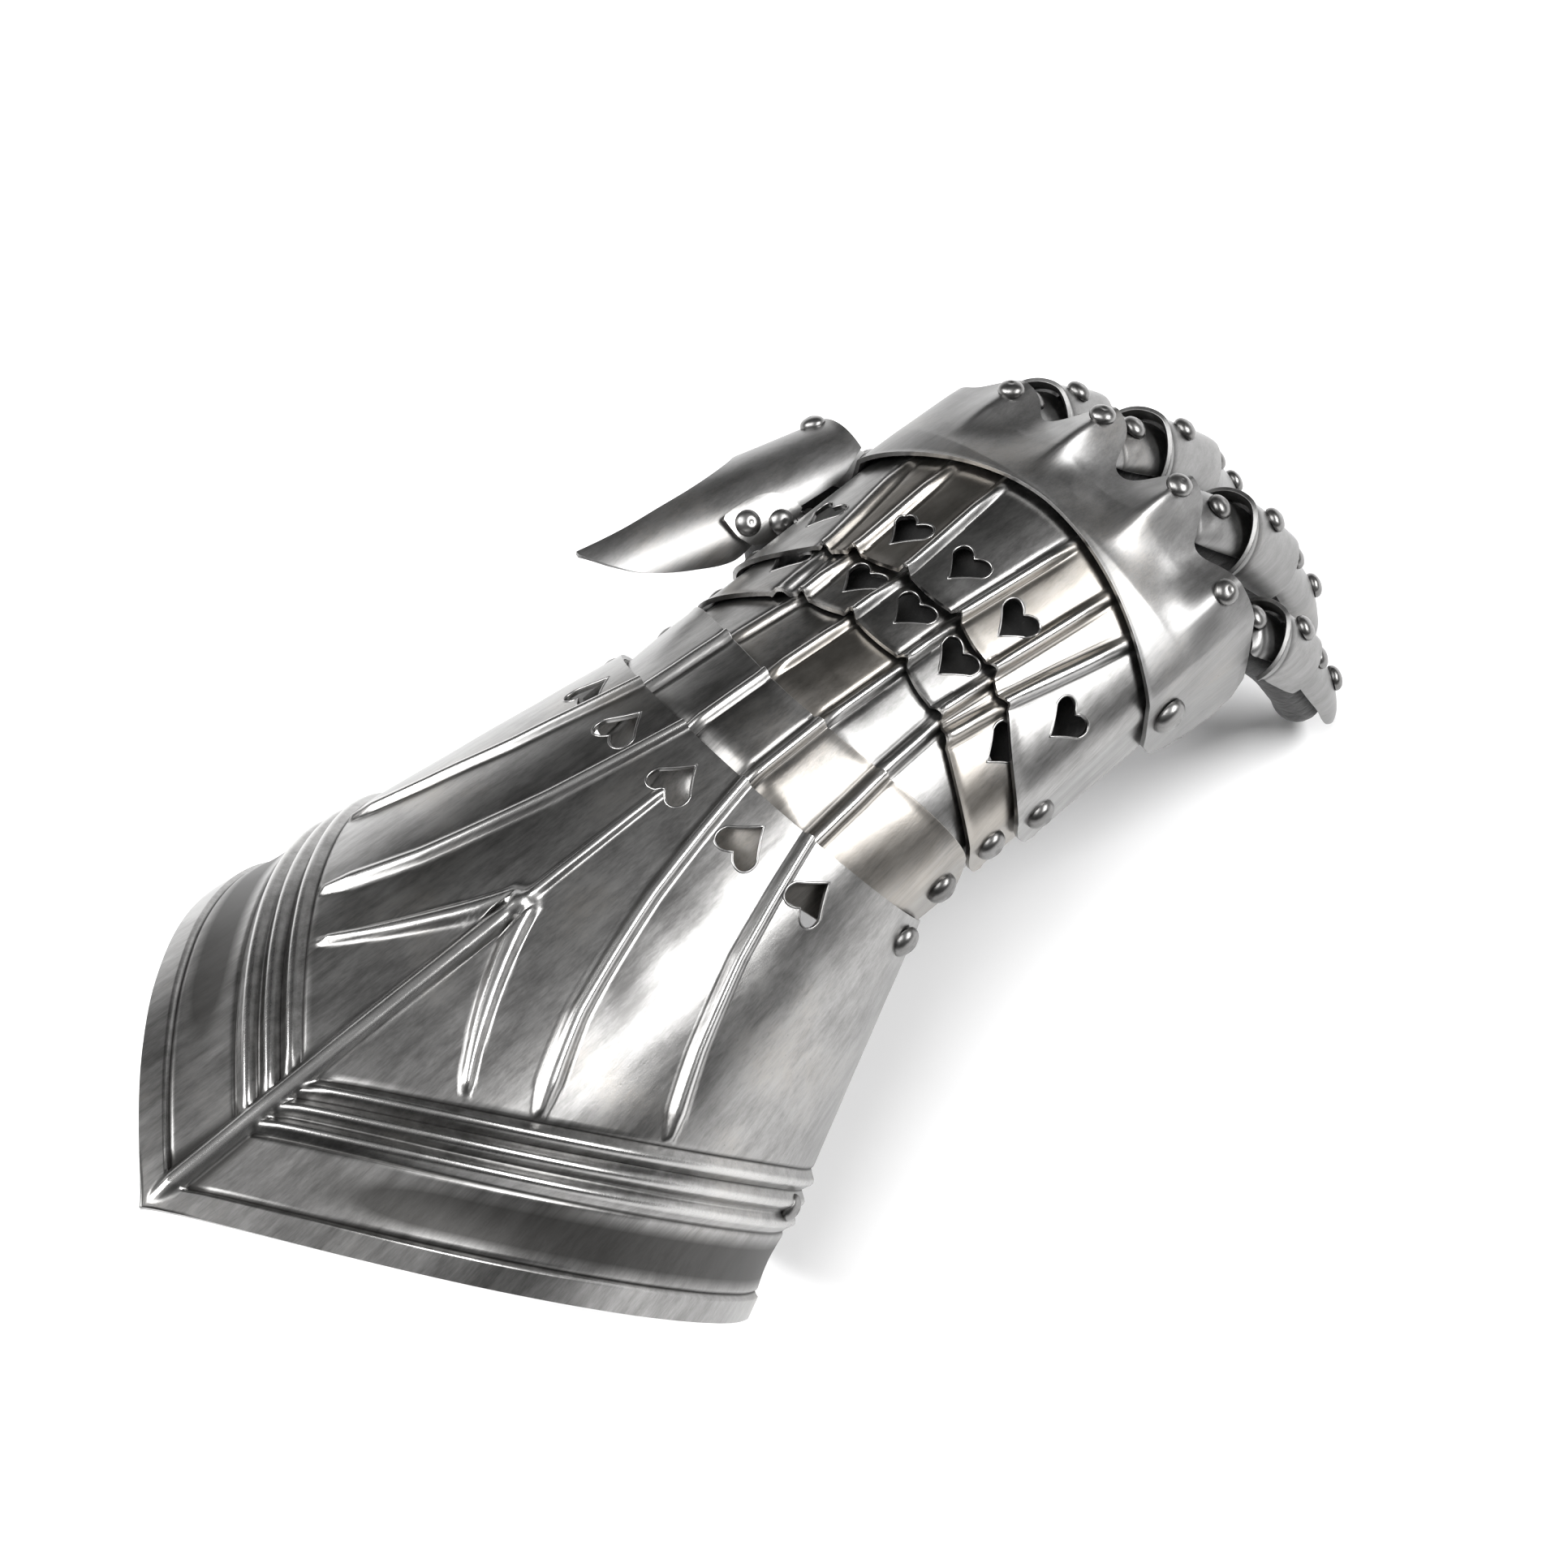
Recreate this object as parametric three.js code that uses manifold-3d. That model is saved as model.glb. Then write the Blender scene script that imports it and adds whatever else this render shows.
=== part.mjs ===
// Articulated steel gauntlet for the right hand: a pointed fluted cuff, two wrist lames,
// two fluted metacarpal plates with pierced hearts, a knuckle plate, finger and thumb lames
// and the hollow leather glove that carries them. Millimetres.
// Hand frame: +X towards the fingers, +Y towards the thumb, +Z out of the back of the hand,
// with the origin between the rivets that carry the first metacarpal lame.
import * as THREE from 'three';
import { mergeVertices } from 'three/addons/utils/BufferGeometryUtils.js';
import Module from 'manifold-3d';

const wasm = await Module();
wasm.setup();

const toRad = THREE.MathUtils.degToRad;
const vec = (x, y, z) => new THREE.Vector3(x, y, z);

// Sheet and fastenings
const sheet = 1.2;
const leatherWall = 2.2;
const shankRadius = 2.05;
const holeRadius = 2.25;
const pivotHead = { radius: 3.9, height: 2.7 };
const smallHead = { radius: 3.3, height: 2.2 };
const bigHead = { radius: 4.6, height: 3.0 };

// Side pivots, from the cuff to the knuckle plate
const pivots = {
  cuff: { x: -31, z: -1.5, half: 48.1 },
  lames: { x: -16, z: 0, half: 44.9 },
  lame: { x: 0, z: 0, half: 44.7 },
  plate: { x: 14, z: 0, half: 46.9 },
  knuckle: { x: 55, z: 0, half: 49.3 },
};

// Cuff: sections of a cone whose axis leans down towards the elbow
const cuff = {
  x: -26, z: 0.5, lean: 26.4, span: 170, bulge: 0.09,
  halfWidth: 46.55, spread: 50, halfHeight: 39.3, rise: 83.6,
  sideLength: 94, pointLength: 41, pointPower: 0.87,
  edgeAngle: 1.75, ribZone: 36.5, ribEnd: 21.9, border: 5.7,
};
const under = { depth: 32, slope: 0.25, start: 17, deepStart: 38, end: 92.6, tuck: 1.42, square: 0.78 };

// Rest attitude of the hand frame on the table
const rest = { pitch: 10.16, roll: -0.5, position: vec(26.92, -0.28, 73.76) };

const mix = (a, b, t) => a + (b - a) * t;
const steelPlate = () => new THREE.MeshStandardMaterial({ color: 0x8d8a86, roughness: 0.32, metalness: 1 });
const blackLeather = () => new THREE.MeshStandardMaterial({ color: 0x17161a, roughness: 0.9, metalness: 0 });

function stepTable(points, x) {
  if (x <= points[0][0]) return points[0][1];
  for (let i = 1; i < points.length; i += 1) {
    const [x0, y0] = points[i - 1];
    const [x1, y1] = points[i];
    if (x <= x1) return mix(y0, y1, (x - x0) / (x1 - x0));
  }
  return points[points.length - 1][1];
}

// ---- Solids ----------------------------------------------------------------

function toSolid(geometry) {
  const bare = new THREE.BufferGeometry();
  bare.setAttribute('position', geometry.getAttribute('position'));
  if (geometry.index) bare.setIndex(geometry.index);
  const merged = mergeVertices(bare, 1e-4);
  const vertProperties = new Float32Array(merged.getAttribute('position').array);
  const triVerts = new Uint32Array(merged.index.array);
  return new wasm.Manifold(new wasm.Mesh({ numProp: 3, vertProperties, triVerts }));
}

function toGeometry(solid) {
  const mesh = solid.getMesh();
  const geometry = new THREE.BufferGeometry();
  geometry.setAttribute('position', new THREE.BufferAttribute(new Float32Array(mesh.vertProperties), 3));
  geometry.setIndex(new THREE.BufferAttribute(new Uint32Array(mesh.triVerts), 1));
  geometry.computeVertexNormals();
  return geometry;
}

function gridNormal(base, i, j) {
  const rows = base.length;
  const cols = base[0].length;
  const along = base[Math.min(i + 1, rows - 1)][j].clone().sub(base[Math.max(i - 1, 0)][j]);
  const across = base[i][Math.min(j + 1, cols - 1)].clone().sub(base[i][Math.max(j - 1, 0)]);
  return along.cross(across).normalize();
}

// A sheet of even thickness over a grid of points, raised by a relief along the normal
function sheetSolid(base, relief, inside, thickness) {
  const rows = base.length;
  const cols = base[0].length;
  const mi = Math.floor(rows / 2);
  const mj = Math.floor(cols / 2);
  const side = gridNormal(base, mi, mj).dot(base[mi][mj].clone().sub(inside)) > 0 ? 1 : -1;
  const position = [];
  for (const depth of [0, thickness]) {
    for (let i = 0; i < rows; i += 1) {
      for (let j = 0; j < cols; j += 1) {
        const normal = gridNormal(base, i, j).multiplyScalar(side);
        const point = base[i][j].clone().addScaledVector(normal, relief(i, j) - depth);
        position.push(point.x, point.y, point.z);
      }
    }
  }
  const at = (layer, i, j) => layer * rows * cols + i * cols + j;
  const index = [];
  const quad = (a, b, c, d) => {
    if (side > 0) index.push(a, b, c, a, c, d);
    else index.push(a, c, b, a, d, c);
  };
  for (let i = 0; i < rows - 1; i += 1) {
    for (let j = 0; j < cols - 1; j += 1) {
      quad(at(0, i, j), at(0, i + 1, j), at(0, i + 1, j + 1), at(0, i, j + 1));
      quad(at(1, i, j), at(1, i, j + 1), at(1, i + 1, j + 1), at(1, i + 1, j));
    }
  }
  for (let j = 0; j < cols - 1; j += 1) {
    quad(at(0, 0, j), at(0, 0, j + 1), at(1, 0, j + 1), at(1, 0, j));
    quad(at(0, rows - 1, j), at(1, rows - 1, j), at(1, rows - 1, j + 1), at(0, rows - 1, j + 1));
  }
  for (let i = 0; i < rows - 1; i += 1) {
    quad(at(0, i, 0), at(1, i, 0), at(1, i + 1, 0), at(0, i + 1, 0));
    quad(at(0, i, cols - 1), at(0, i + 1, cols - 1), at(1, i + 1, cols - 1), at(1, i, cols - 1));
  }
  const geometry = new THREE.BufferGeometry();
  geometry.setAttribute('position', new THREE.Float32BufferAttribute(position, 3));
  geometry.setIndex(index);
  return toSolid(geometry);
}

function placed(geometry, point, normal, spin = 0) {
  const turn = new THREE.Quaternion().setFromUnitVectors(vec(0, 0, 1), normal.clone().normalize());
  const moved = geometry.clone();
  moved.rotateZ(spin);
  moved.applyQuaternion(turn);
  moved.translate(point.x, point.y, point.z);
  return moved;
}

// Domed head; a shank and a burr are added where it is the pivot of the plate below
function rivetGeometry(head, reach, segments) {
  const { radius, height } = head;
  const profile = [
    [0, height], [radius * 0.66, height * 0.76], [radius, -0.05],
  ];
  if (reach > 0) {
    profile.push([shankRadius, -0.05], [shankRadius, -reach], [3.0, -reach], [2.6, -reach - 0.8]);
    profile.push([0, -reach - 0.8]);
  } else {
    profile.push([radius * 0.9, -0.6], [0, -0.6]);
  }
  const points = profile.map(([r, z]) => new THREE.Vector2(r, z)).reverse();
  const lathe = new THREE.LatheGeometry(points, segments);
  lathe.rotateX(Math.PI / 2);
  return lathe;
}

function withRivets(solid, list) {
  let result = solid;
  for (const { point, normal, head = smallHead, reach = 0, segments = 7 } of list) {
    const rivet = toSolid(placed(rivetGeometry(head, reach, segments), point, normal));
    result = result.add(rivet);
  }
  return result;
}

function withHoles(solid, list) {
  let result = solid;
  for (const { point, normal } of list) {
    const bore = new THREE.CylinderGeometry(holeRadius, holeRadius, 18, 12);
    bore.rotateX(Math.PI / 2);
    result = result.subtract(toSolid(placed(bore, point, normal)));
  }
  return result;
}

// Heart with its tip along +Y, centred on the origin
function heartShape(length, width) {
  const l = length / 2;
  const w = width / 2;
  const shape = new THREE.Shape();
  shape.moveTo(0, l);
  shape.quadraticCurveTo(w * 0.45, l * 0.35, w * 0.96, -l * 0.2);
  shape.bezierCurveTo(w * 1.15, -l * 0.8, w * 0.45, -l * 1.25, 0, -l * 0.6);
  shape.bezierCurveTo(-w * 0.45, -l * 1.25, -w * 1.15, -l * 0.8, -w * 0.96, -l * 0.2);
  shape.quadraticCurveTo(-w * 0.45, l * 0.35, 0, l);
  return shape;
}

function withHearts(solid, list, length, width) {
  let result = solid;
  for (const { point, normal, tip } of list) {
    const block = new THREE.ExtrudeGeometry(heartShape(length, width), {
      depth: 9, bevelEnabled: false, curveSegments: 3,
    });
    block.translate(0, 0, -5);
    const z = normal.clone().normalize();
    const y = tip.clone().addScaledVector(z, -tip.dot(z)).normalize();
    const x = y.clone().cross(z);
    block.applyMatrix4(new THREE.Matrix4().makeBasis(x, y, z).setPosition(point));
    result = result.subtract(toSolid(block));
  }
  return result;
}

function surfaceFrame(surface, a, b, inside) {
  const point = surface(a, b);
  const da = surface(a + 0.5, b).sub(surface(a - 0.5, b));
  const db = surface(a, b + 0.01).sub(surface(a, b - 0.01));
  const normal = da.cross(db).normalize();
  if (normal.dot(point.clone().sub(inside)) < 0) normal.negate();
  return { point, normal };
}

function pivotPair(pivot, surfaceHalf) {
  return [1, -1].map((side) => ({
    point: vec(pivot.x, side * surfaceHalf, pivot.z), normal: vec(0, side, 0),
  }));
}

// ---- Cuff --------------------------------------------------------------------

const leanSin = Math.sin(toRad(cuff.lean));
const leanCos = Math.cos(toRad(cuff.lean));

function cuffSize(u) {
  const t = u / cuff.span;
  const grow = t - cuff.bulge * t * (t - 1);
  return { a: cuff.halfWidth + cuff.spread * grow, w: cuff.halfHeight + cuff.rise * grow };
}

function cuffFrame(u, y, w) {
  return vec(cuff.x - u * leanCos - w * leanSin, y, cuff.z - u * leanSin + w * leanCos);
}

function cuffSurface(u, angle) {
  const { a, w } = cuffSize(u);
  return cuffFrame(u, -a * Math.sin(angle), w * Math.cos(angle));
}

function cuffRim(angle) {
  const t = Math.min(Math.abs(angle), Math.PI / 2);
  return cuff.sideLength + cuff.pointLength * (1 - Math.sin(t) ** cuff.pointPower);
}

const cuffInside = vec(-90, 0, -20);
const cuffRows = [
  { f: 0 }, { f: 0.1 }, { f: 0.18 }, { f: 0.34 }, { f: 0.5 }, { f: 0.75 }, { f: 1 },
  { d: 34.1, rib: 1 }, { d: 31.6, rib: 0 }, { d: 29.2, rib: 1 }, { d: 26.8, rib: 0 },
  { d: 24.3, rib: 1 }, { d: 21.9, rib: 0 }, { d: 6.1, rib: 0 }, { d: 5.5, border: 1 }, { d: 0, border: 1 },
];
const innerFlute = [[0, 0.205], [0.35, 0.29], [1, 0.527], [1.6, 0.62]];
const outerFlute = [[0, 0.61], [0.4, 0.7], [1, 0.896], [1.6, 0.98]];
const armLine = [[0, 0.11], [0.5, 0.11], [1, 0.345], [1.6, 0.5]];
const ridgeHeight = [[0.1, 0], [0.18, 1.4], [0.5, 2.0], [1, 2.4], [1.57, 2.2], [1.6, 0.8]];
const fluteHeight = [[0, 1.6], [0.8, 1.8], [0.98, 0.9], [1, 0]];
const armHeight = [[0.5, 0.4], [0.75, 1.6], [0.99, 1.4], [1, 0]];
const cuffColumns = [
  { at: () => 0, mm: 0, top: ridgeHeight }, { at: () => 0, mm: 2.6 },
  { at: armLine, mm: -1.1 }, { at: armLine, mm: 0.6, top: armHeight }, { at: armLine, mm: 2.3 },
  { at: innerFlute, mm: -2.4 }, { at: innerFlute, mm: 0, top: fluteHeight }, { at: innerFlute, mm: 2.4 },
  { at: (f) => 0.5 * (stepTable(innerFlute, f) + stepTable(outerFlute, f)), mm: 0 },
  { at: outerFlute, mm: -2.4 }, { at: outerFlute, mm: 0, top: fluteHeight }, { at: outerFlute, mm: 2.4 },
  { at: (f) => 0.5 * (stepTable(outerFlute, f) + 1.3), mm: 0 },
  { at: () => 1.3, mm: 0 }, { at: () => 1.52, mm: 0 }, { at: () => cuff.edgeAngle, mm: 0 },
];

function mirrorColumns(columns) {
  const left = columns.slice(1).reverse().map((column) => ({ ...column, side: -1 }));
  return [...left, ...columns.map((column) => ({ ...column, side: 1 }))];
}

function cuffCell(row, column) {
  const panel = 'f' in row;
  const f = panel ? row.f : mix(1, 1.6, 1 - row.d / cuff.ribZone);
  const line = typeof column.at === 'function' ? column.at(f) : stepTable(column.at, f);
  const angle = line + column.mm / 55;
  const rim = cuffRim(angle);
  const u = panel ? row.f * (rim - cuff.ribZone) : rim - row.d;
  let height = column.top ? stepTable(column.top, f) : 0;
  if (!panel) {
    const band = 1.3 * (row.rib || 0) + 0.8 * (row.border || 0);
    height = column.top === ridgeHeight ? Math.max(height, band) : band;
  }
  return { u, angle: column.side * angle, height };
}

function makeCuffPlate() {
  const columns = mirrorColumns(cuffColumns);
  const cells = cuffRows.map((row) => columns.map((column) => cuffCell(row, column)));
  const base = cells.map((row) => row.map((cell) => cuffSurface(cell.u, cell.angle)));
  let solid = sheetSolid(base, (i, j) => cells[i][j].height, cuffInside, sheet);
  const hearts = [0, 0.404, -0.404, 0.802, -0.802].map((angle) => ({
    ...surfaceFrame(cuffSurface, 9.6, angle, cuffInside), tip: vec(1, 0, 0),
  }));
  solid = withHearts(solid, hearts, 11, 10.5);
  const rivets = [1, -1].map((side) => ({
    ...surfaceFrame(cuffSurface, 67, side * 1.645, cuffInside), head: smallHead, reach: 3.3, segments: 12,
  }));
  const pivot = pivotPair(pivots.cuff, pivots.cuff.half).map((p) => (
    { ...p, head: pivotHead, reach: 5.4, segments: 12 }));
  return withRivets(solid, [...rivets, ...pivot]);
}

// Plain plate that closes the cuff under the forearm, tucked inside the cuff's side edges
function makeCuffInnerPlate() {
  const gap = sheet + 0.5;
  const angles = [under.tuck, 1.57, 1.75, 1.95, 2.2, 2.5, 2.82, Math.PI];
  const columns = [...angles, ...angles.slice(0, -1).reverse().map((a) => 2 * Math.PI - a)];
  const base = [0, 0.25, 0.5, 0.75, 1].map((t) => columns.map((angle) => {
    const start = mix(under.start, under.deepStart, Math.max(-Math.cos(angle), 0) ** 0.6);
    const u = mix(start, under.end, t);
    const { a, w } = cuffSize(u);
    const low = under.depth + under.slope * u;
    const c = Math.cos(angle);
    const s = Math.sin(angle);
    const up = Math.min(Math.max((c + 0.35) / 0.35, 0), 1);
    const height = c < 0 ? -low * Math.abs(c) ** under.square : mix(low, w - gap, up) * c;
    const square = c < 0 ? Math.abs(s) ** under.square * Math.sign(s) : s;
    return cuffFrame(u, -(a - gap) * square, height);
  }));
  const solid = sheetSolid(base, () => 0, cuffInside, sheet);
  const holes = [1, -1].map((side) => surfaceFrame(cuffSurface, 67, side * 1.645, cuffInside));
  return withHoles(solid, holes);
}

// ---- Wrist lames and metacarpal plates ---------------------------------------

const domePower = 1.6;
const handInside = vec(20, 0, 0);
const sideWall = 4.4;
const dome = (eta) => Math.max(1 - Math.abs(eta) ** domePower, 0) ** (1 / domePower);

// Arc about a pivot, cut off where the sheet would turn under
function arcHeight(pivot, radius, x) {
  return pivot.z + Math.sqrt(Math.max(radius * radius - (x - pivot.x) ** 2, 1));
}

const lameProfiles = {
  wristA: {
    half: [[-40, 44.2], [-31, 44.3], [-16, 44.9], [-8, 44.9]],
    height: (x) => (x < -39 ? arcHeight(pivots.cuff, 37.0, x) : mix(34.6, 33.2, (x + 39) / 18)),
  },
  wristB: {
    half: [[-30, 43.0], [-16, 43.0], [0, 42.3], [10, 42.3]],
    height: (x) => {
      if (x < -17) return arcHeight(pivots.lames, 31.4, x);
      if (x > 3) return arcHeight(pivots.lame, 28.2, x);
      return mix(31.38, 28.04, (x + 17) / 20);
    },
  },
  metaLame: {
    half: [[-10, 45.0], [0, 44.7], [14, 44.9], [30, 44.9]],
    height: (x) => (x > 20 ? arcHeight(pivots.plate, 28.4, x) : mix(30.3, 27.8, Math.max(x, 0) / 20)),
  },
  metaPlate: {
    half: [[5, 46.9], [14, 46.9], [55, 47.3], [70, 47.3]],
    height: (x) => {
      if (x > 56) return arcHeight(pivots.knuckle, 27.3, x);
      return mix(30.0, 27.28, Math.max(x - 20, 0) / 36);
    },
  },
};

function lamePoint(profile, x, eta, drop) {
  const half = stepTable(profile.half, x);
  const side = Math.sign(eta);
  const z = drop > 0 ? -drop : mix(sideWall, profile.height(x), dome(eta));
  return vec(x, drop > 0 ? side * half : half * eta, z);
}

// Columns across a lame: flutes as base, crest, base; then the flat sides and the rounded tabs
function lameColumns(flutes, tabs) {
  const list = [{ y: () => 0, top: 0 }];
  for (const line of flutes) {
    list.push({ y: (t) => mix(line.rear, line.front, t) - line.wide, top: 0 });
    list.push({ y: (t) => mix(line.rear, line.front, t), top: line.high });
    list.push({ y: (t) => mix(line.rear, line.front, t) + line.wide, top: 0 });
  }
  for (const eta of [0.8, 0.91, 0.975, 1]) list.push({ eta, top: 0 });
  for (const tab of tabs) list.push({ eta: 1, drop: tab.drop, rear: tab.rear, front: tab.front, top: 0 });
  return mirrorColumns(list);
}

function makeLame(spec) {
  const columns = lameColumns(spec.flutes, spec.tabs);
  const point = (t, column) => {
    const half = stepTable(spec.profile.half, mix(spec.rear(0), spec.front(0), t));
    const eta = column.side * (column.y ? column.y(t) / half : column.eta);
    const rear = spec.rear(Math.abs(eta)) + (column.rear || 0);
    const front = spec.front(Math.abs(eta)) - (column.front || 0);
    return lamePoint(spec.profile, mix(rear, front, t), eta, column.drop || 0);
  };
  const base = spec.stations.map((t) => columns.map((column) => point(t, column)));
  const solid = sheetSolid(base, (i, j) => columns[j].top * spec.fade[i], handInside, sheet);
  const surface = (x, eta) => lamePoint(spec.profile, x, eta, 0);
  const hearts = spec.hearts.map(({ x, y }) => ({
    ...surfaceFrame(surface, x, y / stepTable(spec.profile.half, x), handInside), tip: vec(-1, 0, 0),
  }));
  return withHearts(solid, hearts, 10.5, 10.5);
}

const lameTabs = [
  { drop: 4.5, rear: 0.9, front: 0.9 }, { drop: 8, rear: 5.0, front: 5.0 },
];
const evenStations = [0, 0.3, 0.65, 1];

// Scalloped edge: each panel bows towards the cuff between two flutes
function scallop(lines, eta, half) {
  const y = Math.abs(eta) * half;
  for (let i = 1; i < lines.length; i += 1) {
    if (y <= lines[i]) return Math.sin(Math.PI * (y - lines[i - 1]) / (lines[i] - lines[i - 1]));
  }
  return 0;
}

function makeWristLameA() {
  const solid = makeLame({
    profile: lameProfiles.wristA,
    flutes: [{ rear: 9.4, front: 8.6, wide: 2.2, high: 1.6 }, { rear: 27.5, front: 24.5, wide: 2.2, high: 1.6 }],
    rear: (eta) => mix(-60, -44, eta ** 1.6),
    front: (eta) => -20.5 + 12 * eta ** 1.6,
    stations: evenStations,
    fade: [0.6, 1, 1, 1],
    tabs: lameTabs,
    hearts: [],
  });
  const drilled = withHoles(solid, pivotPair(pivots.cuff, pivots.cuff.half));
  return withRivets(drilled, pivotPair(pivots.lames, pivots.lames.half).map((p) => (
    { ...p, head: pivotHead, reach: 3.5, segments: 12 })));
}

function makeWristLameB() {
  const solid = makeLame({
    profile: lameProfiles.wristB,
    flutes: [{ rear: 8.6, front: 8.4, wide: 2.2, high: 1.6 }, { rear: 24.5, front: 21.9, wide: 2.0, high: 1.25 }],
    rear: (eta) => mix(-29, -23.5, eta ** 1.6),
    front: (eta) => mix(14, 7.5, eta ** 1.6),
    stations: evenStations,
    fade: [0.5, 1, 1, 0.4],
    tabs: lameTabs,
    hearts: [],
  });
  return withHoles(solid, [
    ...pivotPair(pivots.lames, pivots.lames.half), ...pivotPair(pivots.lame, pivots.lame.half),
  ]);
}

function makeMetacarpalLame() {
  const lines = [-8.4, 8.4, 22.3, 44];
  const solid = makeLame({
    profile: lameProfiles.metaLame,
    flutes: [
      { rear: 8.4, front: 8.6, wide: 2.1, high: 1.8 },
      { rear: 21.6, front: 23.2, wide: 2.4, high: 1.9 },
      { rear: 26.6, front: 29.4, wide: 1.8, high: 1.3 },
    ],
    rear: (eta) => mix(7.2, -7.5, eta ** 2.4) - 1.9 * scallop(lines, eta, 44.3),
    front: (eta) => mix(29, 21.5, eta ** 1.6),
    stations: evenStations,
    fade: [1, 1, 0.55, 0.2],
    tabs: lameTabs,
    hearts: [{ x: 17.2, y: 0 }, { x: 16.2, y: 15 }, { x: 16.2, y: -15 }, { x: 12.4, y: 35 }, { x: 12.4, y: -35 }],
  });
  const drilled = withHoles(solid, pivotPair(pivots.plate, pivots.plate.half));
  return withRivets(drilled, pivotPair(pivots.lame, pivots.lame.half).map((p) => (
    { ...p, head: pivotHead, reach: 3.6, segments: 12 })));
}

function makeMetacarpalPlate() {
  const lines = [-8.4, 8.4, 22.6, 29.8, 46.9];
  const solid = makeLame({
    profile: lameProfiles.metaPlate,
    flutes: [
      { rear: 8.4, front: 12.2, wide: 2.2, high: 1.8 },
      { rear: 22.0, front: 26.2, wide: 2.1, high: 1.8 },
      { rear: 28.8, front: 37.2, wide: 1.9, high: 1.6 },
    ],
    rear: (eta) => mix(24.4, 6.2, eta ** 2.6) - 1.9 * scallop(lines, eta, 46.9),
    front: (eta) => mix(68, 62, eta ** 1.6),
    stations: [0, 0.3, 0.6, 0.8, 1],
    fade: [1, 1, 0.9, 0.35, 0.1],
    tabs: [
      { drop: 6, rear: 1.6, front: 0.3 }, { drop: 9.6, rear: 7, front: 3 },
    ],
    hearts: [{ x: 34.6, y: 0 }, { x: 33.4, y: 17.2 }, { x: 33.4, y: -17.2 }, { x: 28.5, y: 39.5 }, { x: 28.5, y: -39.5 }],
  });
  const drilled = withHoles(solid, pivotPair(pivots.knuckle, pivots.knuckle.half));
  return withRivets(drilled, pivotPair(pivots.plate, pivots.plate.half).map((p) => (
    { ...p, head: pivotHead, reach: 3.7, segments: 12 })));
}

// ---- Knuckle plate -------------------------------------------------------------

const knuckles = [
  { name: 'index', x: 84.4, y: 32.3, z: 20.2 },
  { name: 'middle', x: 91.0, y: 9.3, z: 26.2 },
  { name: 'ring', x: 89.4, y: -16.7, z: 25.6 },
  { name: 'little', x: 80.6, y: -41.0, z: 13.6 },
];

const knuckleFall = [[45, 30.4], [62, 29.6], [76, 25.6], [88, 21], [100, 17]];

function knucklePoint(x, y, drop, side) {
  const half = stepTable([[45, 49.3], [60, 49.3], [80, 48.6], [95, 47.2]], x);
  const flare = side < 0 ? stepTable([[62, 0], [80, 2.4], [90, 3.4]], x) : 0;
  if (drop > 0) return vec(x, side * (half + flare), -drop);
  const eta = y / half;
  let z = mix(sideWall + 1.8, stepTable(knuckleFall, x), dome(eta));
  for (const knuckle of knuckles) {
    const grow = THREE.MathUtils.smoothstep(x, 62, knuckle.x - 2);
    const across = Math.exp(-(((y - knuckle.y) / 5.8) ** 2));
    const want = knuckle.z - mix(sideWall + 1.8, stepTable(knuckleFall, knuckle.x), dome(knuckle.y / 48.2));
    z += Math.max(want, 3) * grow * across;
  }
  return vec(x, y, z);
}

function knuckleFront(y) {
  let x = 84;
  for (const knuckle of knuckles) {
    const reach = knuckle.x + 5.5 - 84;
    x += reach * Math.exp(-(((y - knuckle.y) / 8.5) ** 4));
  }
  return x;
}

function makeKnucklePlate() {
  const ys = [-47.6, -44.5, -41, -36, -29, -22.5, -16.7, -10, -3.7, 3, 9.3, 15, 21, 27, 32.3, 37.5, 42, 45.5, 47.8];
  const long = [
    { drop: 0.01, rear: 47.4, front: 82 }, { drop: 6, rear: 47.6, front: 82.5 },
    { drop: 12, rear: 50.5, front: 83 }, { drop: 17, rear: 57, front: 80 }, { drop: 20, rear: 64, front: 74 },
  ];
  const short = [{ drop: 0.01, rear: 47.4, front: 82 }, { drop: 5.5, rear: 49.5, front: 76 }, { drop: 9, rear: 54, front: 68 }];
  const columns = [
    ...long.slice().reverse().map((d) => ({ ...d, side: -1 })),
    ...ys.map((y) => ({ y })),
    ...short.map((d) => ({ ...d, side: 1 })),
  ];
  const stations = [0, 0.14, 0.3, 0.46, 0.62, 0.76, 0.88, 1];
  const base = stations.map((t) => columns.map((column) => {
    if (column.drop) return knucklePoint(mix(column.rear, column.front, t), 0, column.drop, column.side);
    const rear = 61.5 - 14 * (Math.abs(column.y) / 49) ** 2;
    return knucklePoint(mix(rear, knuckleFront(column.y), t), column.y, 0, 0);
  }));
  const solid = sheetSolid(base, () => 0, vec(70, 0, -5), sheet);
  const surface = (x, y) => knucklePoint(x, y * 100, 0, 0);
  const tops = knuckles.map(({ x, y }) => ({
    ...surfaceFrame(surface, x, y / 100, vec(70, 0, -5)), head: smallHead, segments: 8,
  }));
  const sides = pivotPair(pivots.knuckle, pivots.knuckle.half).map((p) => (
    { ...p, head: bigHead, reach: 3.8, segments: 12 }));
  return withRivets(solid, [...tops, ...sides]);
}

// ---- Fingers -------------------------------------------------------------------

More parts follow.
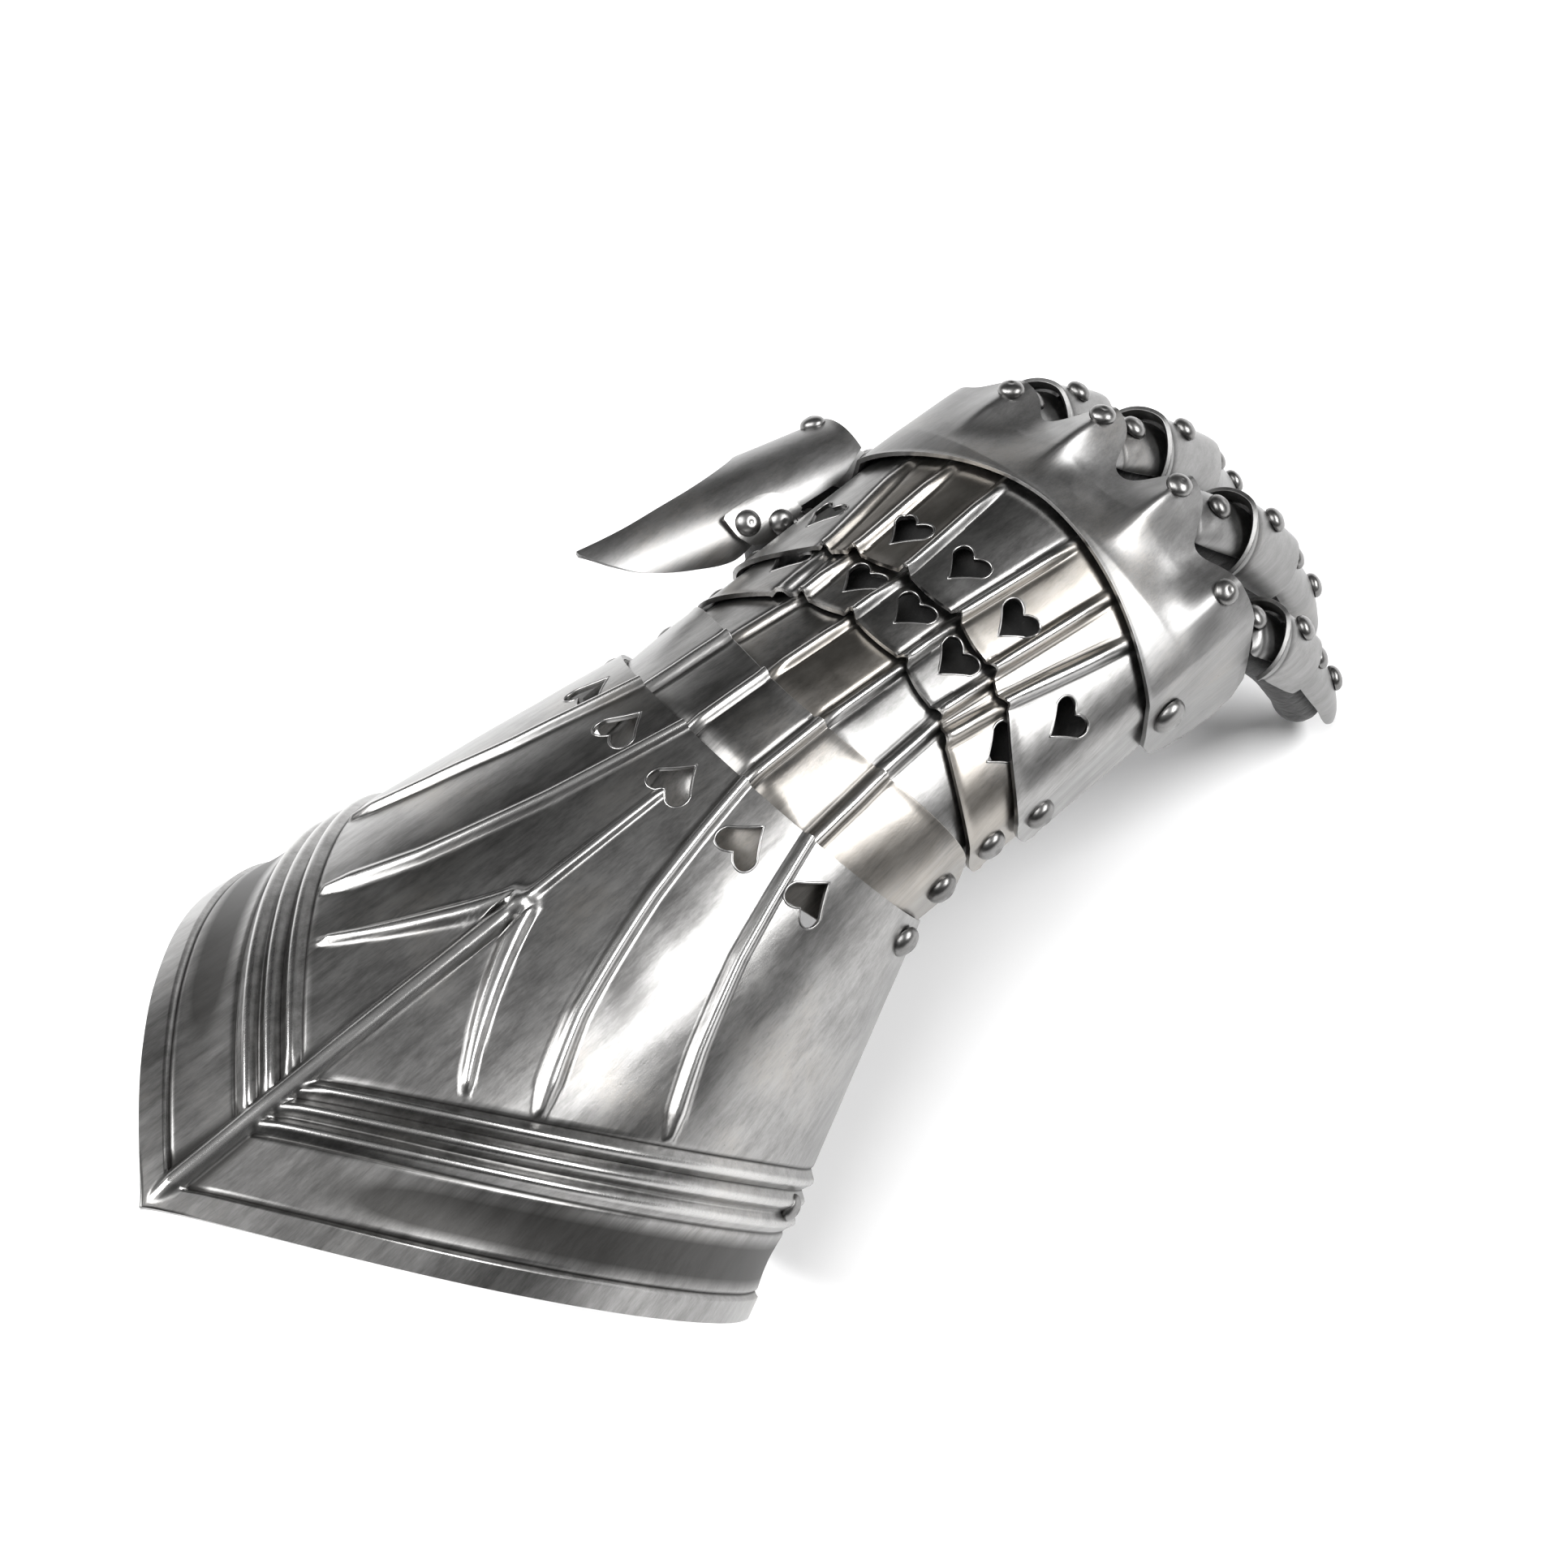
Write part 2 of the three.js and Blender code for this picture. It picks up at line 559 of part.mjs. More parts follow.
// Each finger: yaw of its plane, then the length and the downward pitch of each bone of the
// chain that the rivets follow, from the knuckle rivet to the finger's end
const fingers = [
  { name: 'index', yaw: -7, radius: 11, start: 7, bones: [[14, 40], [13, 36], [17, 42], [24, 60], [21.5, 72]] },
  { name: 'middle', yaw: -17, radius: 11.4, start: 5, bones: [[16, 36], [14, 40], [19, 46], [22, 60], [21, 72]] },
  { name: 'ring', yaw: -28, radius: 11, start: 6, bones: [[19, 38], [15, 42], [17, 55], [23, 62], [20, 73]] },
  { name: 'little', yaw: -31, radius: 9.8, start: 14, bones: [[16, 38], [12, 42], [12, 54], [19, 61], [17, 73]] },
];

function chainPoint(chain, s) {
  let left = s;
  let x = 0;
  let z = 0;
  for (let i = 0; i < chain.length; i += 1) {
    const [length, pitch] = chain[i];
    const step = i === chain.length - 1 ? left : Math.min(left, length);
    x += step * Math.cos(toRad(pitch));
    z -= step * Math.sin(toRad(pitch));
    left -= step;
    if (left <= 0) return { x, z, pitch };
  }
  return { x, z, pitch: chain[chain.length - 1][1] };
}

// Half tube about the finger: rows are stations of the chain, columns run round the back
function fingerLame(chain, stations, columns, peak) {
  const base = stations.map(({ s, radius, wrap, lift = 0 }) => {
    const before = chainPoint(chain, Math.max(s - 2, 0));
    const after = chainPoint(chain, s + 2);
    const here = chainPoint(chain, s);
    const tilt = Math.atan2(before.z - after.z, after.x - before.x);
    return columns.map((t) => {
      const angle = toRad(wrap) * t;
      const crest = peak * Math.exp(-((t / 0.3) ** 2));
      const out = radius * (Math.cos(angle) - 1) + crest + lift * Math.cos(angle);
      return vec(here.x + out * Math.sin(tilt), radius * Math.sin(angle), here.z + out * Math.cos(tilt));
    });
  });
  const middle = chainPoint(chain, stations[Math.floor(stations.length / 2)].s);
  const tilt = toRad(middle.pitch);
  const inside = vec(middle.x - 12 * Math.sin(tilt), 0, middle.z - 12 * Math.cos(tilt));
  return sheetSolid(base, () => 0, inside, sheet);
}

function chainRivet(chain, s, out) {
  const { x, z, pitch } = chainPoint(chain, s);
  const tilt = toRad(pitch);
  return {
    point: vec(x + out * Math.sin(tilt), 0, z + out * Math.cos(tilt)),
    normal: vec(Math.sin(tilt), 0, Math.cos(tilt)),
    head: smallHead,
  };
}

const lameTurns = [-1, -0.66, -0.33, 0, 0.33, 0.66, 1];

function fingerParts(finger) {
  const chain = finger.bones;
  const r = finger.radius;
  const marks = chain.map((bone, i) => chain.slice(0, i + 1).reduce((sum, b) => sum + b[0], 0));
  const [first, second, third, fourth, end] = marks;
  const rootStations = [
    { s: finger.start, radius: r - 2.2, wrap: 74, lift: -4.6 },
    { s: mix(finger.start, first, 0.5), radius: r - 1.9, wrap: 80, lift: -3.5 },
    { s: first, radius: r - 1.8, wrap: 82, lift: -2.6 }, { s: second, radius: r - 2.1, wrap: 80, lift: -2.8 },
  ];
  const barrelStart = mix(first, second, 0.45);
  const barrelStations = [
    { s: barrelStart, radius: r + 0.6, wrap: 96, lift: 1.3 },
    { s: barrelStart + 2.2, radius: r, wrap: 100, lift: 0 },
    { s: second + 2, radius: r - 0.1, wrap: 104, lift: -0.2 },
    { s: third - 3, radius: r - 0.3, wrap: 100, lift: 0 },
    { s: third + 1, radius: r - 0.2, wrap: 92, lift: 0.2 },
  ];
  const tipStations = [
    { s: third - 5, radius: r - 2.4, wrap: 88, lift: -2.1 }, { s: third + 3, radius: r - 2.3, wrap: 98, lift: -1.9 },
    { s: fourth - 4, radius: r - 2.4, wrap: 100, lift: -1.7 }, { s: fourth + 5, radius: r - 2.8, wrap: 98, lift: -1.6 },
    { s: end - 4, radius: r - 3.6, wrap: 92, lift: -2.0 }, { s: end, radius: r - 6.2, wrap: 84, lift: -3.6 },
  ];
  return [
    {
      name: `${finger.name}_lame_1`,
      solid: withRivets(fingerLame(chain, rootStations, lameTurns, 0), [chainRivet(chain, first - 1.5, -2.5)]),
    },
    {
      name: `${finger.name}_lame_2`,
      solid: withRivets(fingerLame(chain, barrelStations, lameTurns, 0.9), [chainRivet(chain, second + 3, 0.7)]),
    },
    {
      name: `${finger.name}_lame_3`,
      solid: withRivets(fingerLame(chain, tipStations, lameTurns, 0), [
        chainRivet(chain, third + 7, -1.8), chainRivet(chain, fourth + 2, -1.6),
      ]),
    },
  ];
}

// ---- Thumb ---------------------------------------------------------------------

// Horn frame: +X along the thumb's base, origin on top of the tube the plate follows
const horn = { origin: vec(40, 61.5, 3.5), yaw: -10, pitch: 8, radius: 15.5 };

// Thumb frame: +X along the thumb, +Z out of its back
const thumb = {
  origin: vec(44, 71, -1.5), yaw: -17, pitch: 20, roll: -38,
  bones: [[12, 0], [20, 12], [34, 26]],
};

function placedMatrix({ origin, yaw, pitch, roll = 0 }) {
  const matrix = new THREE.Matrix4().makeRotationZ(toRad(yaw));
  matrix.multiply(new THREE.Matrix4().makeRotationY(toRad(pitch)));
  matrix.multiply(new THREE.Matrix4().makeRotationX(toRad(roll)));
  return matrix.setPosition(origin);
}

function hornSpot(x, angle, out) {
  const t = toRad(angle);
  const normal = vec(0, Math.sin(t), Math.cos(t));
  return { point: normal.clone().multiplyScalar(horn.radius + out).add(vec(x, 0, -horn.radius)), normal };
}

const hornStations = [
  { x: -62, near: -2, far: 2 }, { x: -56, near: -24, far: 3 }, { x: -49, near: -41, far: 5 },
  { x: -37, near: -56, far: 12 }, { x: -26, near: -64, far: 20 }, { x: -14, near: -47, far: 36 },
  { x: -2, near: -40, far: 76 }, { x: 8, near: -34, far: 96 }, { x: 18, near: -14, far: 88 },
];

function makeThumbPlate() {
  const base = hornStations.map(({ x, near, far }) => [0, 0.16, 0.33, 0.5, 0.66, 0.83, 1].map((t) => (
    hornSpot(x, mix(near, far, t), 0).point)));
  const solid = sheetSolid(base, () => 0, vec(-10, 0, -horn.radius), sheet);
  return withRivets(solid, [{ ...hornSpot(14, 45, -0.15), segments: 8 }]);
}

// Leaf-shaped hinge strap riveted across the plate, with its barrel at the plate's near edge
function makeThumbHinge() {
  const rows = [[0, 3.2], [0.2, 5.4], [0.45, 6.6], [0.7, 5.2], [0.9, 2.4], [1, 0.6]];
  const lift = sheet + 0.65;
  const base = rows.map(([t, width]) => [-1, -0.4, 0.4, 1].map((c) => {
    const x = mix(-7, -25, t) + c * width * 0.7;
    const angle = mix(-50, -24, t) + c * width * 0.7 * (180 / Math.PI / horn.radius);
    return hornSpot(x, angle, lift).point;
  }));
  const leaf = sheetSolid(base, () => 0, vec(-15, 0, -horn.radius), sheet);
  const barrel = new THREE.CylinderGeometry(2.1, 2.1, 8, 10);
  barrel.rotateZ(Math.PI / 2);
  const edge = hornSpot(-6, -53, lift - 1.5).point;
  barrel.translate(edge.x, edge.y, edge.z);
  const studs = [[-20, -36], [-11.5, -46]].map(([x, angle]) => hornSpot(x, angle, lift - 0.15));
  return withRivets(leaf.add(toSolid(barrel)), studs);
}

function thumbParts() {
  const chain = thumb.bones;
  const short = fingerLame(chain, [
    { s: 7, radius: 13.2, wrap: 70, lift: -2.4 }, { s: 15, radius: 13.2, wrap: 80, lift: -2.2 },
    { s: 25, radius: 12.8, wrap: 84, lift: -2.0 },
  ], lameTurns, 0);
  const tip = fingerLame(chain, [
    { s: 18, radius: 10.5, wrap: 74, lift: -4.4 }, { s: 28, radius: 10.9, wrap: 92, lift: -3.6 },
    { s: 42, radius: 10.8, wrap: 100, lift: -3.3 }, { s: 53, radius: 9.4, wrap: 96, lift: -4.4 },
    { s: 60, radius: 6.8, wrap: 90, lift: -6.4 }, { s: 63.5, radius: 4.2, wrap: 84, lift: -8.6 },
  ], lameTurns, 0);
  return [
    { name: 'thumb_lame', solid: withRivets(short, [chainRivet(chain, 19, -2.2)]) },
    { name: 'thumb_tip', solid: withRivets(tip, [chainRivet(chain, 30, -3.6), chainRivet(chain, 47, -3.8)]) },
  ];
}

// ---- Glove ---------------------------------------------------------------------

function loftSolid(rings) {
  const cols = rings[0].length;
  const position = [];
  for (const ring of rings) for (const p of ring) position.push(p.x, p.y, p.z);
  const caps = [rings[0], rings[rings.length - 1]].map((ring) => {
    const centre = ring.reduce((sum, p) => sum.add(p), vec(0, 0, 0)).multiplyScalar(1 / cols);
    position.push(centre.x, centre.y, centre.z);
    return position.length / 3 - 1;
  });
  const index = [];
  for (let i = 0; i < rings.length - 1; i += 1) {
    for (let j = 0; j < cols; j += 1) {
      const k = (j + 1) % cols;
      const a = i * cols + j;
      const b = i * cols + k;
      const c = (i + 1) * cols + k;
      const d = (i + 1) * cols + j;
      index.push(a, b, c, a, c, d);
    }
  }
  const last = (rings.length - 1) * cols;
  for (let j = 0; j < cols; j += 1) {
    const k = (j + 1) % cols;
    index.push(caps[0], k, j);
    index.push(caps[1], last + j, last + k);
  }
  const geometry = new THREE.BufferGeometry();
  geometry.setAttribute('position', new THREE.Float32BufferAttribute(position, 3));
  geometry.setIndex(index);
  return toSolid(geometry);
}

function palmRing(x, half, top, bottom, inset, sides) {
  return Array.from({ length: sides }, (_, k) => {
    const t = (2 * Math.PI * k) / sides;
    const s = Math.sin(t);
    const c = Math.cos(t);
    const y = -(half - inset) * Math.sign(s) * Math.abs(s) ** 0.85;
    const tall = (c > 0 ? top : bottom) - inset;
    return vec(x, y, tall * Math.sign(c) * Math.abs(c) ** (c > 0 ? 1.2 : 0.8));
  });
}

function tubeRing(centre, forward, up, radius, flat, sides) {
  const across = up.clone().cross(forward).normalize();
  return Array.from({ length: sides }, (_, k) => {
    const t = (2 * Math.PI * k) / sides;
    return centre.clone()
      .addScaledVector(across, -radius * Math.sin(t))
      .addScaledVector(up, radius * flat * Math.cos(t));
  });
}

function gloveFinger(knuckle, finger, inset) {
  const chain = finger.bones;
  const total = chain.reduce((sum, b) => sum + b[0], 0);
  const tube = finger.radius - 3.9;
  const depth = tube + 3.9;
  const stops = [-10, 6, 22, 40, 58, total - 9, total - 3.5];
  const rings = stops.map((s, i) => {
    const p = s < 0 ? { x: s, z: -2, pitch: 22 } : chainPoint(chain, s);
    const tilt = toRad(p.pitch);
    const up = vec(Math.sin(tilt), 0, Math.cos(tilt));
    const forward = vec(Math.cos(tilt), 0, -Math.sin(tilt));
    const ends = i === stops.length - 1 ? 0.62 : 1;
    const centre = vec(p.x, 0, p.z).addScaledVector(up, -depth - (s < 8 ? 2.4 : 0));
    if (i === stops.length - 1) centre.addScaledVector(forward, -inset);
    return tubeRing(centre, forward, up, tube * ends - inset, 0.95, 8);
  });
  const matrix = new THREE.Matrix4().makeRotationZ(toRad(finger.yaw));
  matrix.setPosition(knuckle.x, knuckle.y, knuckle.z);
  return loftSolid(rings.map((ring) => ring.map((p) => p.applyMatrix4(matrix))));
}

function gloveBody(inset) {
  const stops = inset > 0 ? [0, 20, 32, 45, 62, 78] : [3, 20, 32, 45, 62, 80];
  const rings = stops.map((x) => palmRing(
    x,
    stepTable([[3, 36], [32, 38.5], [62, 42], [80, 39]], x),
    stepTable([[3, 19], [32, 20.5], [45, 24], [62, 23], [80, 17]], x),
    stepTable([[3, 24], [32, 28], [62, 27], [80, 21]], x),
    inset, 14,
  ));
  let solid = loftSolid(rings);
  fingers.forEach((finger, i) => {
    solid = solid.add(gloveFinger(knuckles[i], finger, inset));
  });
  return solid.add(gloveThumb(inset));
}

function gloveThumb(inset) {
  const matrix = placedMatrix(thumb);
  const along = [[3, 16.6, 10.2], [12, 15.6, 10], [26, 14.8, 8.8], [44, 14.2, 8.6], [56, 14.4, 7]];
  const stops = [
    { centre: vec(14, 26, -18), radius: 10.4 }, { centre: vec(25, 43, -25.4), radius: 10.6 },
    ...along.map(([s, depth, radius]) => {
      const spot = chainPoint(thumb.bones, s);
      const tilt = toRad(spot.pitch);
      const centre = vec(spot.x - depth * Math.sin(tilt), 0, spot.z - depth * Math.cos(tilt));
      return { centre: centre.applyMatrix4(matrix), radius };
    }),
  ];
  const rings = stops.map(({ centre, radius }, i) => {
    const before = stops[Math.max(i - 1, 0)].centre;
    const after = stops[Math.min(i + 1, stops.length - 1)].centre;
    const forward = after.clone().sub(before).normalize();
    const up = vec(0, 0, 1).addScaledVector(forward, -forward.z).normalize();
    const back = i === stops.length - 1 ? inset : 0;
    return tubeRing(centre.clone().addScaledVector(forward, -back), forward, up, radius - inset, 1, 8);
  });
  return loftSolid(rings);
}

function makeGlove() {
  return gloveBody(0).subtract(gloveBody(leatherWall));
}

// ---- Assembly --------------------------------------------------------------------

function addPiece(parent, name, solid, material) {
  const mesh = new THREE.Mesh(toGeometry(solid), material);
  mesh.name = name;
  parent.add(mesh);
}

const group = new THREE.Group();
const hand = new THREE.Group();
hand.rotation.set(toRad(rest.roll), toRad(rest.pitch), 0, 'YXZ');
hand.position.copy(rest.position);
group.add(hand);

addPiece(hand, 'cuff_plate', makeCuffPlate(), steelPlate());
addPiece(hand, 'cuff_inner_plate', makeCuffInnerPlate(), steelPlate());
addPiece(hand, 'wrist_lame_a', makeWristLameA(), steelPlate());
addPiece(hand, 'wrist_lame_b', makeWristLameB(), steelPlate());
addPiece(hand, 'metacarpal_lame', makeMetacarpalLame(), steelPlate());
addPiece(hand, 'metacarpal_plate', makeMetacarpalPlate(), steelPlate());
addPiece(hand, 'knuckle_plate', makeKnucklePlate(), steelPlate());

fingers.forEach((finger, i) => {
  const root = new THREE.Group();
  root.position.set(knuckles[i].x, knuckles[i].y, knuckles[i].z);
  root.rotation.z = toRad(finger.yaw);
  hand.add(root);
  for (const part of fingerParts(finger)) addPiece(root, part.name, part.solid, steelPlate());
});

const hornGroup = new THREE.Group();
hornGroup.applyMatrix4(placedMatrix(horn));
hand.add(hornGroup);
addPiece(hornGroup, 'thumb_plate', makeThumbPlate(), steelPlate());
addPiece(hornGroup, 'thumb_hinge', makeThumbHinge(), steelPlate());

const thumbGroup = new THREE.Group();
thumbGroup.applyMatrix4(placedMatrix(thumb));
hand.add(thumbGroup);
for (const part of thumbParts()) addPiece(thumbGroup, part.name, part.solid, steelPlate());

addPiece(hand, 'glove', makeGlove(), blackLeather());

export default group;
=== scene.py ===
import math

import bmesh
import bpy
import numpy as np
from mathutils import Matrix, Vector


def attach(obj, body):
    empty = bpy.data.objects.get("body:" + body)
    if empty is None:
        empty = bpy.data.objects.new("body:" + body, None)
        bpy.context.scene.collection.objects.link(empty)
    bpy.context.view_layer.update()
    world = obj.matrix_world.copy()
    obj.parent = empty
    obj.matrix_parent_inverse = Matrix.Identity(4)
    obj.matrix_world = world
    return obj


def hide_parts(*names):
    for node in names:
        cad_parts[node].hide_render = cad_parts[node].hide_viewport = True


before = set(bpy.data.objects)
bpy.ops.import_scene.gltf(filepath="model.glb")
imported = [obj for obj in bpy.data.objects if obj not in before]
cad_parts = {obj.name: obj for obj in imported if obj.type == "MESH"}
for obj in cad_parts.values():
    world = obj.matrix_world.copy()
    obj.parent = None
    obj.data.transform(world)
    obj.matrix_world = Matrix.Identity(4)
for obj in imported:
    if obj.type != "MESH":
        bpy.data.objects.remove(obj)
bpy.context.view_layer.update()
print("frame loaded:", len(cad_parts), "nodes")

# Hand frame in millimetres: +X to the fingers, +Y to the thumb, +Z out of the back of the hand
rest = {"pitch": 10.16, "roll": -0.5, "place": (26.92, -0.28, 73.76)}
sheetThickness = 1.2
leatherWall = 2.2
millimetre = 0.001  # in the scene's metres
edges = {"sharp": 65, "round": 0.22, "segments": 2}  # degrees, mm


def turn(axis, degrees):
    return np.array(Matrix.Rotation(math.radians(degrees), 3, axis))


handTurn = turn("Y", rest["pitch"]) @ turn("X", rest["roll"])


def toRow(points):
    return (np.asarray(points, float) @ handTurn.T + np.array(rest["place"])) * millimetre


def mix(a, b, t):
    return a + (b - a) * t


def along(table, x):
    xs, ys = zip(*table)
    return np.interp(x, xs, ys)


def smooth(x, low, high):
    t = np.clip((x - low) / (high - low), 0, 1)
    return t * t * (3 - 2 * t)


def spaced(marks, gap):
    # values from mark to mark, never further apart than gap
    out = []
    for a, b in zip(marks[:-1], marks[1:]):
        count = max(int(math.ceil((b - a) / gap)), 1)
        out.extend(np.linspace(a, b, count, endpoint=False))
    return np.array(out + [marks[-1]])


def addObject(name, vertices, faces, shade=edges["sharp"]):
    mesh = bpy.data.meshes.new(name)
    mesh.from_pydata(toRow(vertices).tolist(), [], faces)
    mesh.update()
    mesh.validate()
    mesh.polygons.foreach_set("use_smooth", [True] * len(mesh.polygons))
    mesh.set_sharp_from_angle(angle=math.radians(shade))
    obj = bpy.data.objects.new(name, mesh)
    bpy.context.scene.collection.objects.link(obj)
    return obj


def gridNormals(base, inside):
    du = np.gradient(base, axis=0)
    dv = np.gradient(base, axis=1)
    normals = np.cross(du, dv)
    normals /= np.maximum(np.linalg.norm(normals, axis=2, keepdims=True), 1e-9)
    midRow, midColumn = base.shape[0] // 2, base.shape[1] // 2
    outward = base[midRow, midColumn] - np.array(inside)
    side = 1 if normals[midRow, midColumn] @ outward > 0 else -1
    return normals * side, side


hammering = {"seed": 11, "waves": 14, "shortest": 4, "longest": 12}
unevenRandom = np.random.default_rng(hammering["seed"])
wavelengths = hammering["shortest"], hammering["longest"]
unevenWaves = [(unevenRandom.normal(size=3) / unevenRandom.uniform(*wavelengths),
                unevenRandom.uniform(0, 6.28)) for _ in range(hammering["waves"])]


def uneven(points, amount):
    # the slight waviness of hand-hammered sheet
    total = sum(np.sin(points @ k + phase) for k, phase in unevenWaves)
    return total * amount / math.sqrt(len(unevenWaves))


plainTint = 0.35


def sheetObject(name, base, relief, inside, wave=0.05, tint=None):
    rows, cols = base.shape[:2]
    normals, side = gridNormals(base, inside)
    lift = (relief + uneven(base, wave))[..., None]
    outer = base + normals * lift
    inner = base + normals * (lift - sheetThickness)
    vertices = np.concatenate([outer.reshape(-1, 3), inner.reshape(-1, 3)])
    index = np.arange(rows * cols).reshape(rows, cols)
    back = index + rows * cols

    def quads(a, b, c, d):
        block = np.stack([a, b, c, d], axis=-1).reshape(-1, 4)
        return block if side > 0 else block[:, ::-1]

    faces = [
        quads(index[:-1, :-1], index[1:, :-1], index[1:, 1:], index[:-1, 1:]),
        quads(back[:-1, :-1], back[:-1, 1:], back[1:, 1:], back[1:, :-1]),
        quads(index[0, :-1], index[0, 1:], back[0, 1:], back[0, :-1]),
        quads(index[-1, :-1], back[-1, :-1], back[-1, 1:], index[-1, 1:]),
        quads(index[:-1, 0], back[:-1, 0], back[1:, 0], index[1:, 0]),
        quads(index[:-1, -1], index[1:, -1], back[1:, -1], back[:-1, -1]),
    ]
    obj = addObject(name, vertices, np.concatenate(faces).tolist())
    tint = np.full(relief.shape, plainTint) if tint is None else tint
    for label, values in (("relief", relief), ("tint", tint)):
        mark = obj.data.attributes.new(label, "FLOAT", "POINT")
        mark.data.foreach_set("value", np.tile(values.reshape(-1), 2).astype(np.float32))
    return obj


def settle(obj):
    # the modifiers so far become the mesh
    bpy.context.view_layer.update()
    graph = bpy.context.evaluated_depsgraph_get()
    made = bpy.data.meshes.new_from_object(obj.evaluated_get(graph))
    obj.modifiers.clear()
    obj.data = made


def cutAndSoften(obj, cutters=(), edge=edges["round"]):
    # hearts are cut through first, then every sharp edge gets a narrow round
    for cutter in cutters:
        step = obj.modifiers.new("cut", "BOOLEAN")
        step.operation = "DIFFERENCE"
        step.solver = "EXACT"
        step.object = cutter
    bevel = obj.modifiers.new("edge", "BEVEL")
    bevel.width = edge * millimetre
    bevel.segments = edges["segments"]
    bevel.limit_method = "ANGLE"
    bevel.angle_limit = math.radians(edges["sharp"])
    bevel.harden_normals = True
    bevel.use_clamp_overlap = True
    settle(obj)
    for cutter in cutters:
        bpy.data.objects.remove(cutter)


def spot(surface, a, b, inside, da=0.5, db=0.01):
    point = surface(a, b)
    u = surface(a + da, b) - surface(a - da, b)
    v = surface(a, b + db) - surface(a, b - db)
    normal = np.cross(u, v)
    normal /= np.linalg.norm(normal)
    if normal @ (point - np.array(inside)) < 0:  # always outwards
        normal = -normal
    return point, normal


def frameOn(point, normal, up):
    z = normal / np.linalg.norm(normal)
    y = np.array(up, float)
    y = y - z * (y @ z)
    y /= np.linalg.norm(y)
    return np.cross(y, z), y, z


def heartOutline(length, width):
    # flat outline of a heart, its point along +y: two curves down one side, then back up the other
    tall, wide = length / 2, width / 2
    outline = []
    half = [([(0, tall), (wide * 0.40, tall * 0.42), (wide * 0.92, -tall * 0.08)], 8),
            ([(wide * 0.92, -tall * 0.08), (wide * 1.22, -tall * 0.78), (wide * 0.55, -tall * 1.22),
              (0, -tall * 0.55)], 12)]
    back = [([(-x, y) for x, y in reversed(points)], count) for points, count in reversed(half)]
    for points, count in half + back:
        for t in np.linspace(0, 1, count, endpoint=False):
            level = [np.array(p, float) for p in points]
            while len(level) > 1:
                level = [mix(a, b, t) for a, b in zip(level[:-1], level[1:])]
            outline.append(level[0])
    return np.array(outline)


def heartCutter(point, normal, tip, size):
    x, y, z = frameOn(point, normal, tip)
    flat = heartOutline(*size)
    above, below = 5, -7  # the cutter's ends, mm from the sheet
    rings = [point + flat[:, :1] * x + flat[:, 1:] * y + z * depth for depth in (above, below)]
    n = len(flat)
    faces = [[i, (i + 1) % n, (i + 1) % n + n, i + n] for i in range(n)]
    faces += [list(range(n - 1, -1, -1)), list(range(n, 2 * n))]
    return addObject("heart_cutter", np.concatenate(rings), faces)


heartRim = {"radius": 0.34, "sink": 0.16, "sides": 8, "grow": 0.3, "castFrom": 6}


def toHand(points):
    return (np.asarray(points) * 1000 - np.array(rest["place"])) @ handTurn


def heartRims(name, sheet, hearts, tip, size, body):
    # each cut edge is rounded over: a fine rim laid along the outline on the sheet
    vertices, faces = [], []
    for point, normal in hearts:
        x, y, z = frameOn(point, normal, tip)
        flat = heartOutline(size[0] + heartRim["grow"], size[1] + heartRim["grow"])
        down = Vector(handTurn @ -z)
        ring = []
        for px, py in flat:
            onPlane = point + px * x + py * y
            start = Vector(toRow([onPlane + z * heartRim["castFrom"]])[0])
            hit, place = sheet.ray_cast(start, down)[:2]
            ring.append(toHand([place])[0] if hit else onPlane)
        ring = np.array(ring) - z * heartRim["sink"]
        ahead = np.roll(ring, -1, axis=0) - np.roll(ring, 1, axis=0)
        ahead /= np.linalg.norm(ahead, axis=1, keepdims=True)
        side = np.cross(ahead, z)
        start, sides, count = len(vertices), heartRim["sides"], len(ring)
        for i in range(count):
            for k in range(sides):
                t = 2 * math.pi * k / sides
                vertices.append(ring[i] + heartRim["radius"] * (side[i] * math.cos(t) + z * math.sin(t)))
        for i in range(count):
            for k in range(sides):
                a, b = start + i * sides, start + (i + 1) % count * sides
                n = (k + 1) % sides
                faces.append([a + k, a + n, b + n, b + k])
    obj = addObject(name, np.array(vertices), faces)
    obj.data.materials.append(plateSteel)
    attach(obj, body)


rivet = {"small": (3.3, 2.3), "pivot": (3.9, 2.9), "big": (4.7, 3.2),  # radius and height of each head
         "shank": 1.9, "endRadius": 3.1, "endHeight": 0.9, "sides": 24, "sharp": 50, "sink": 0.1}


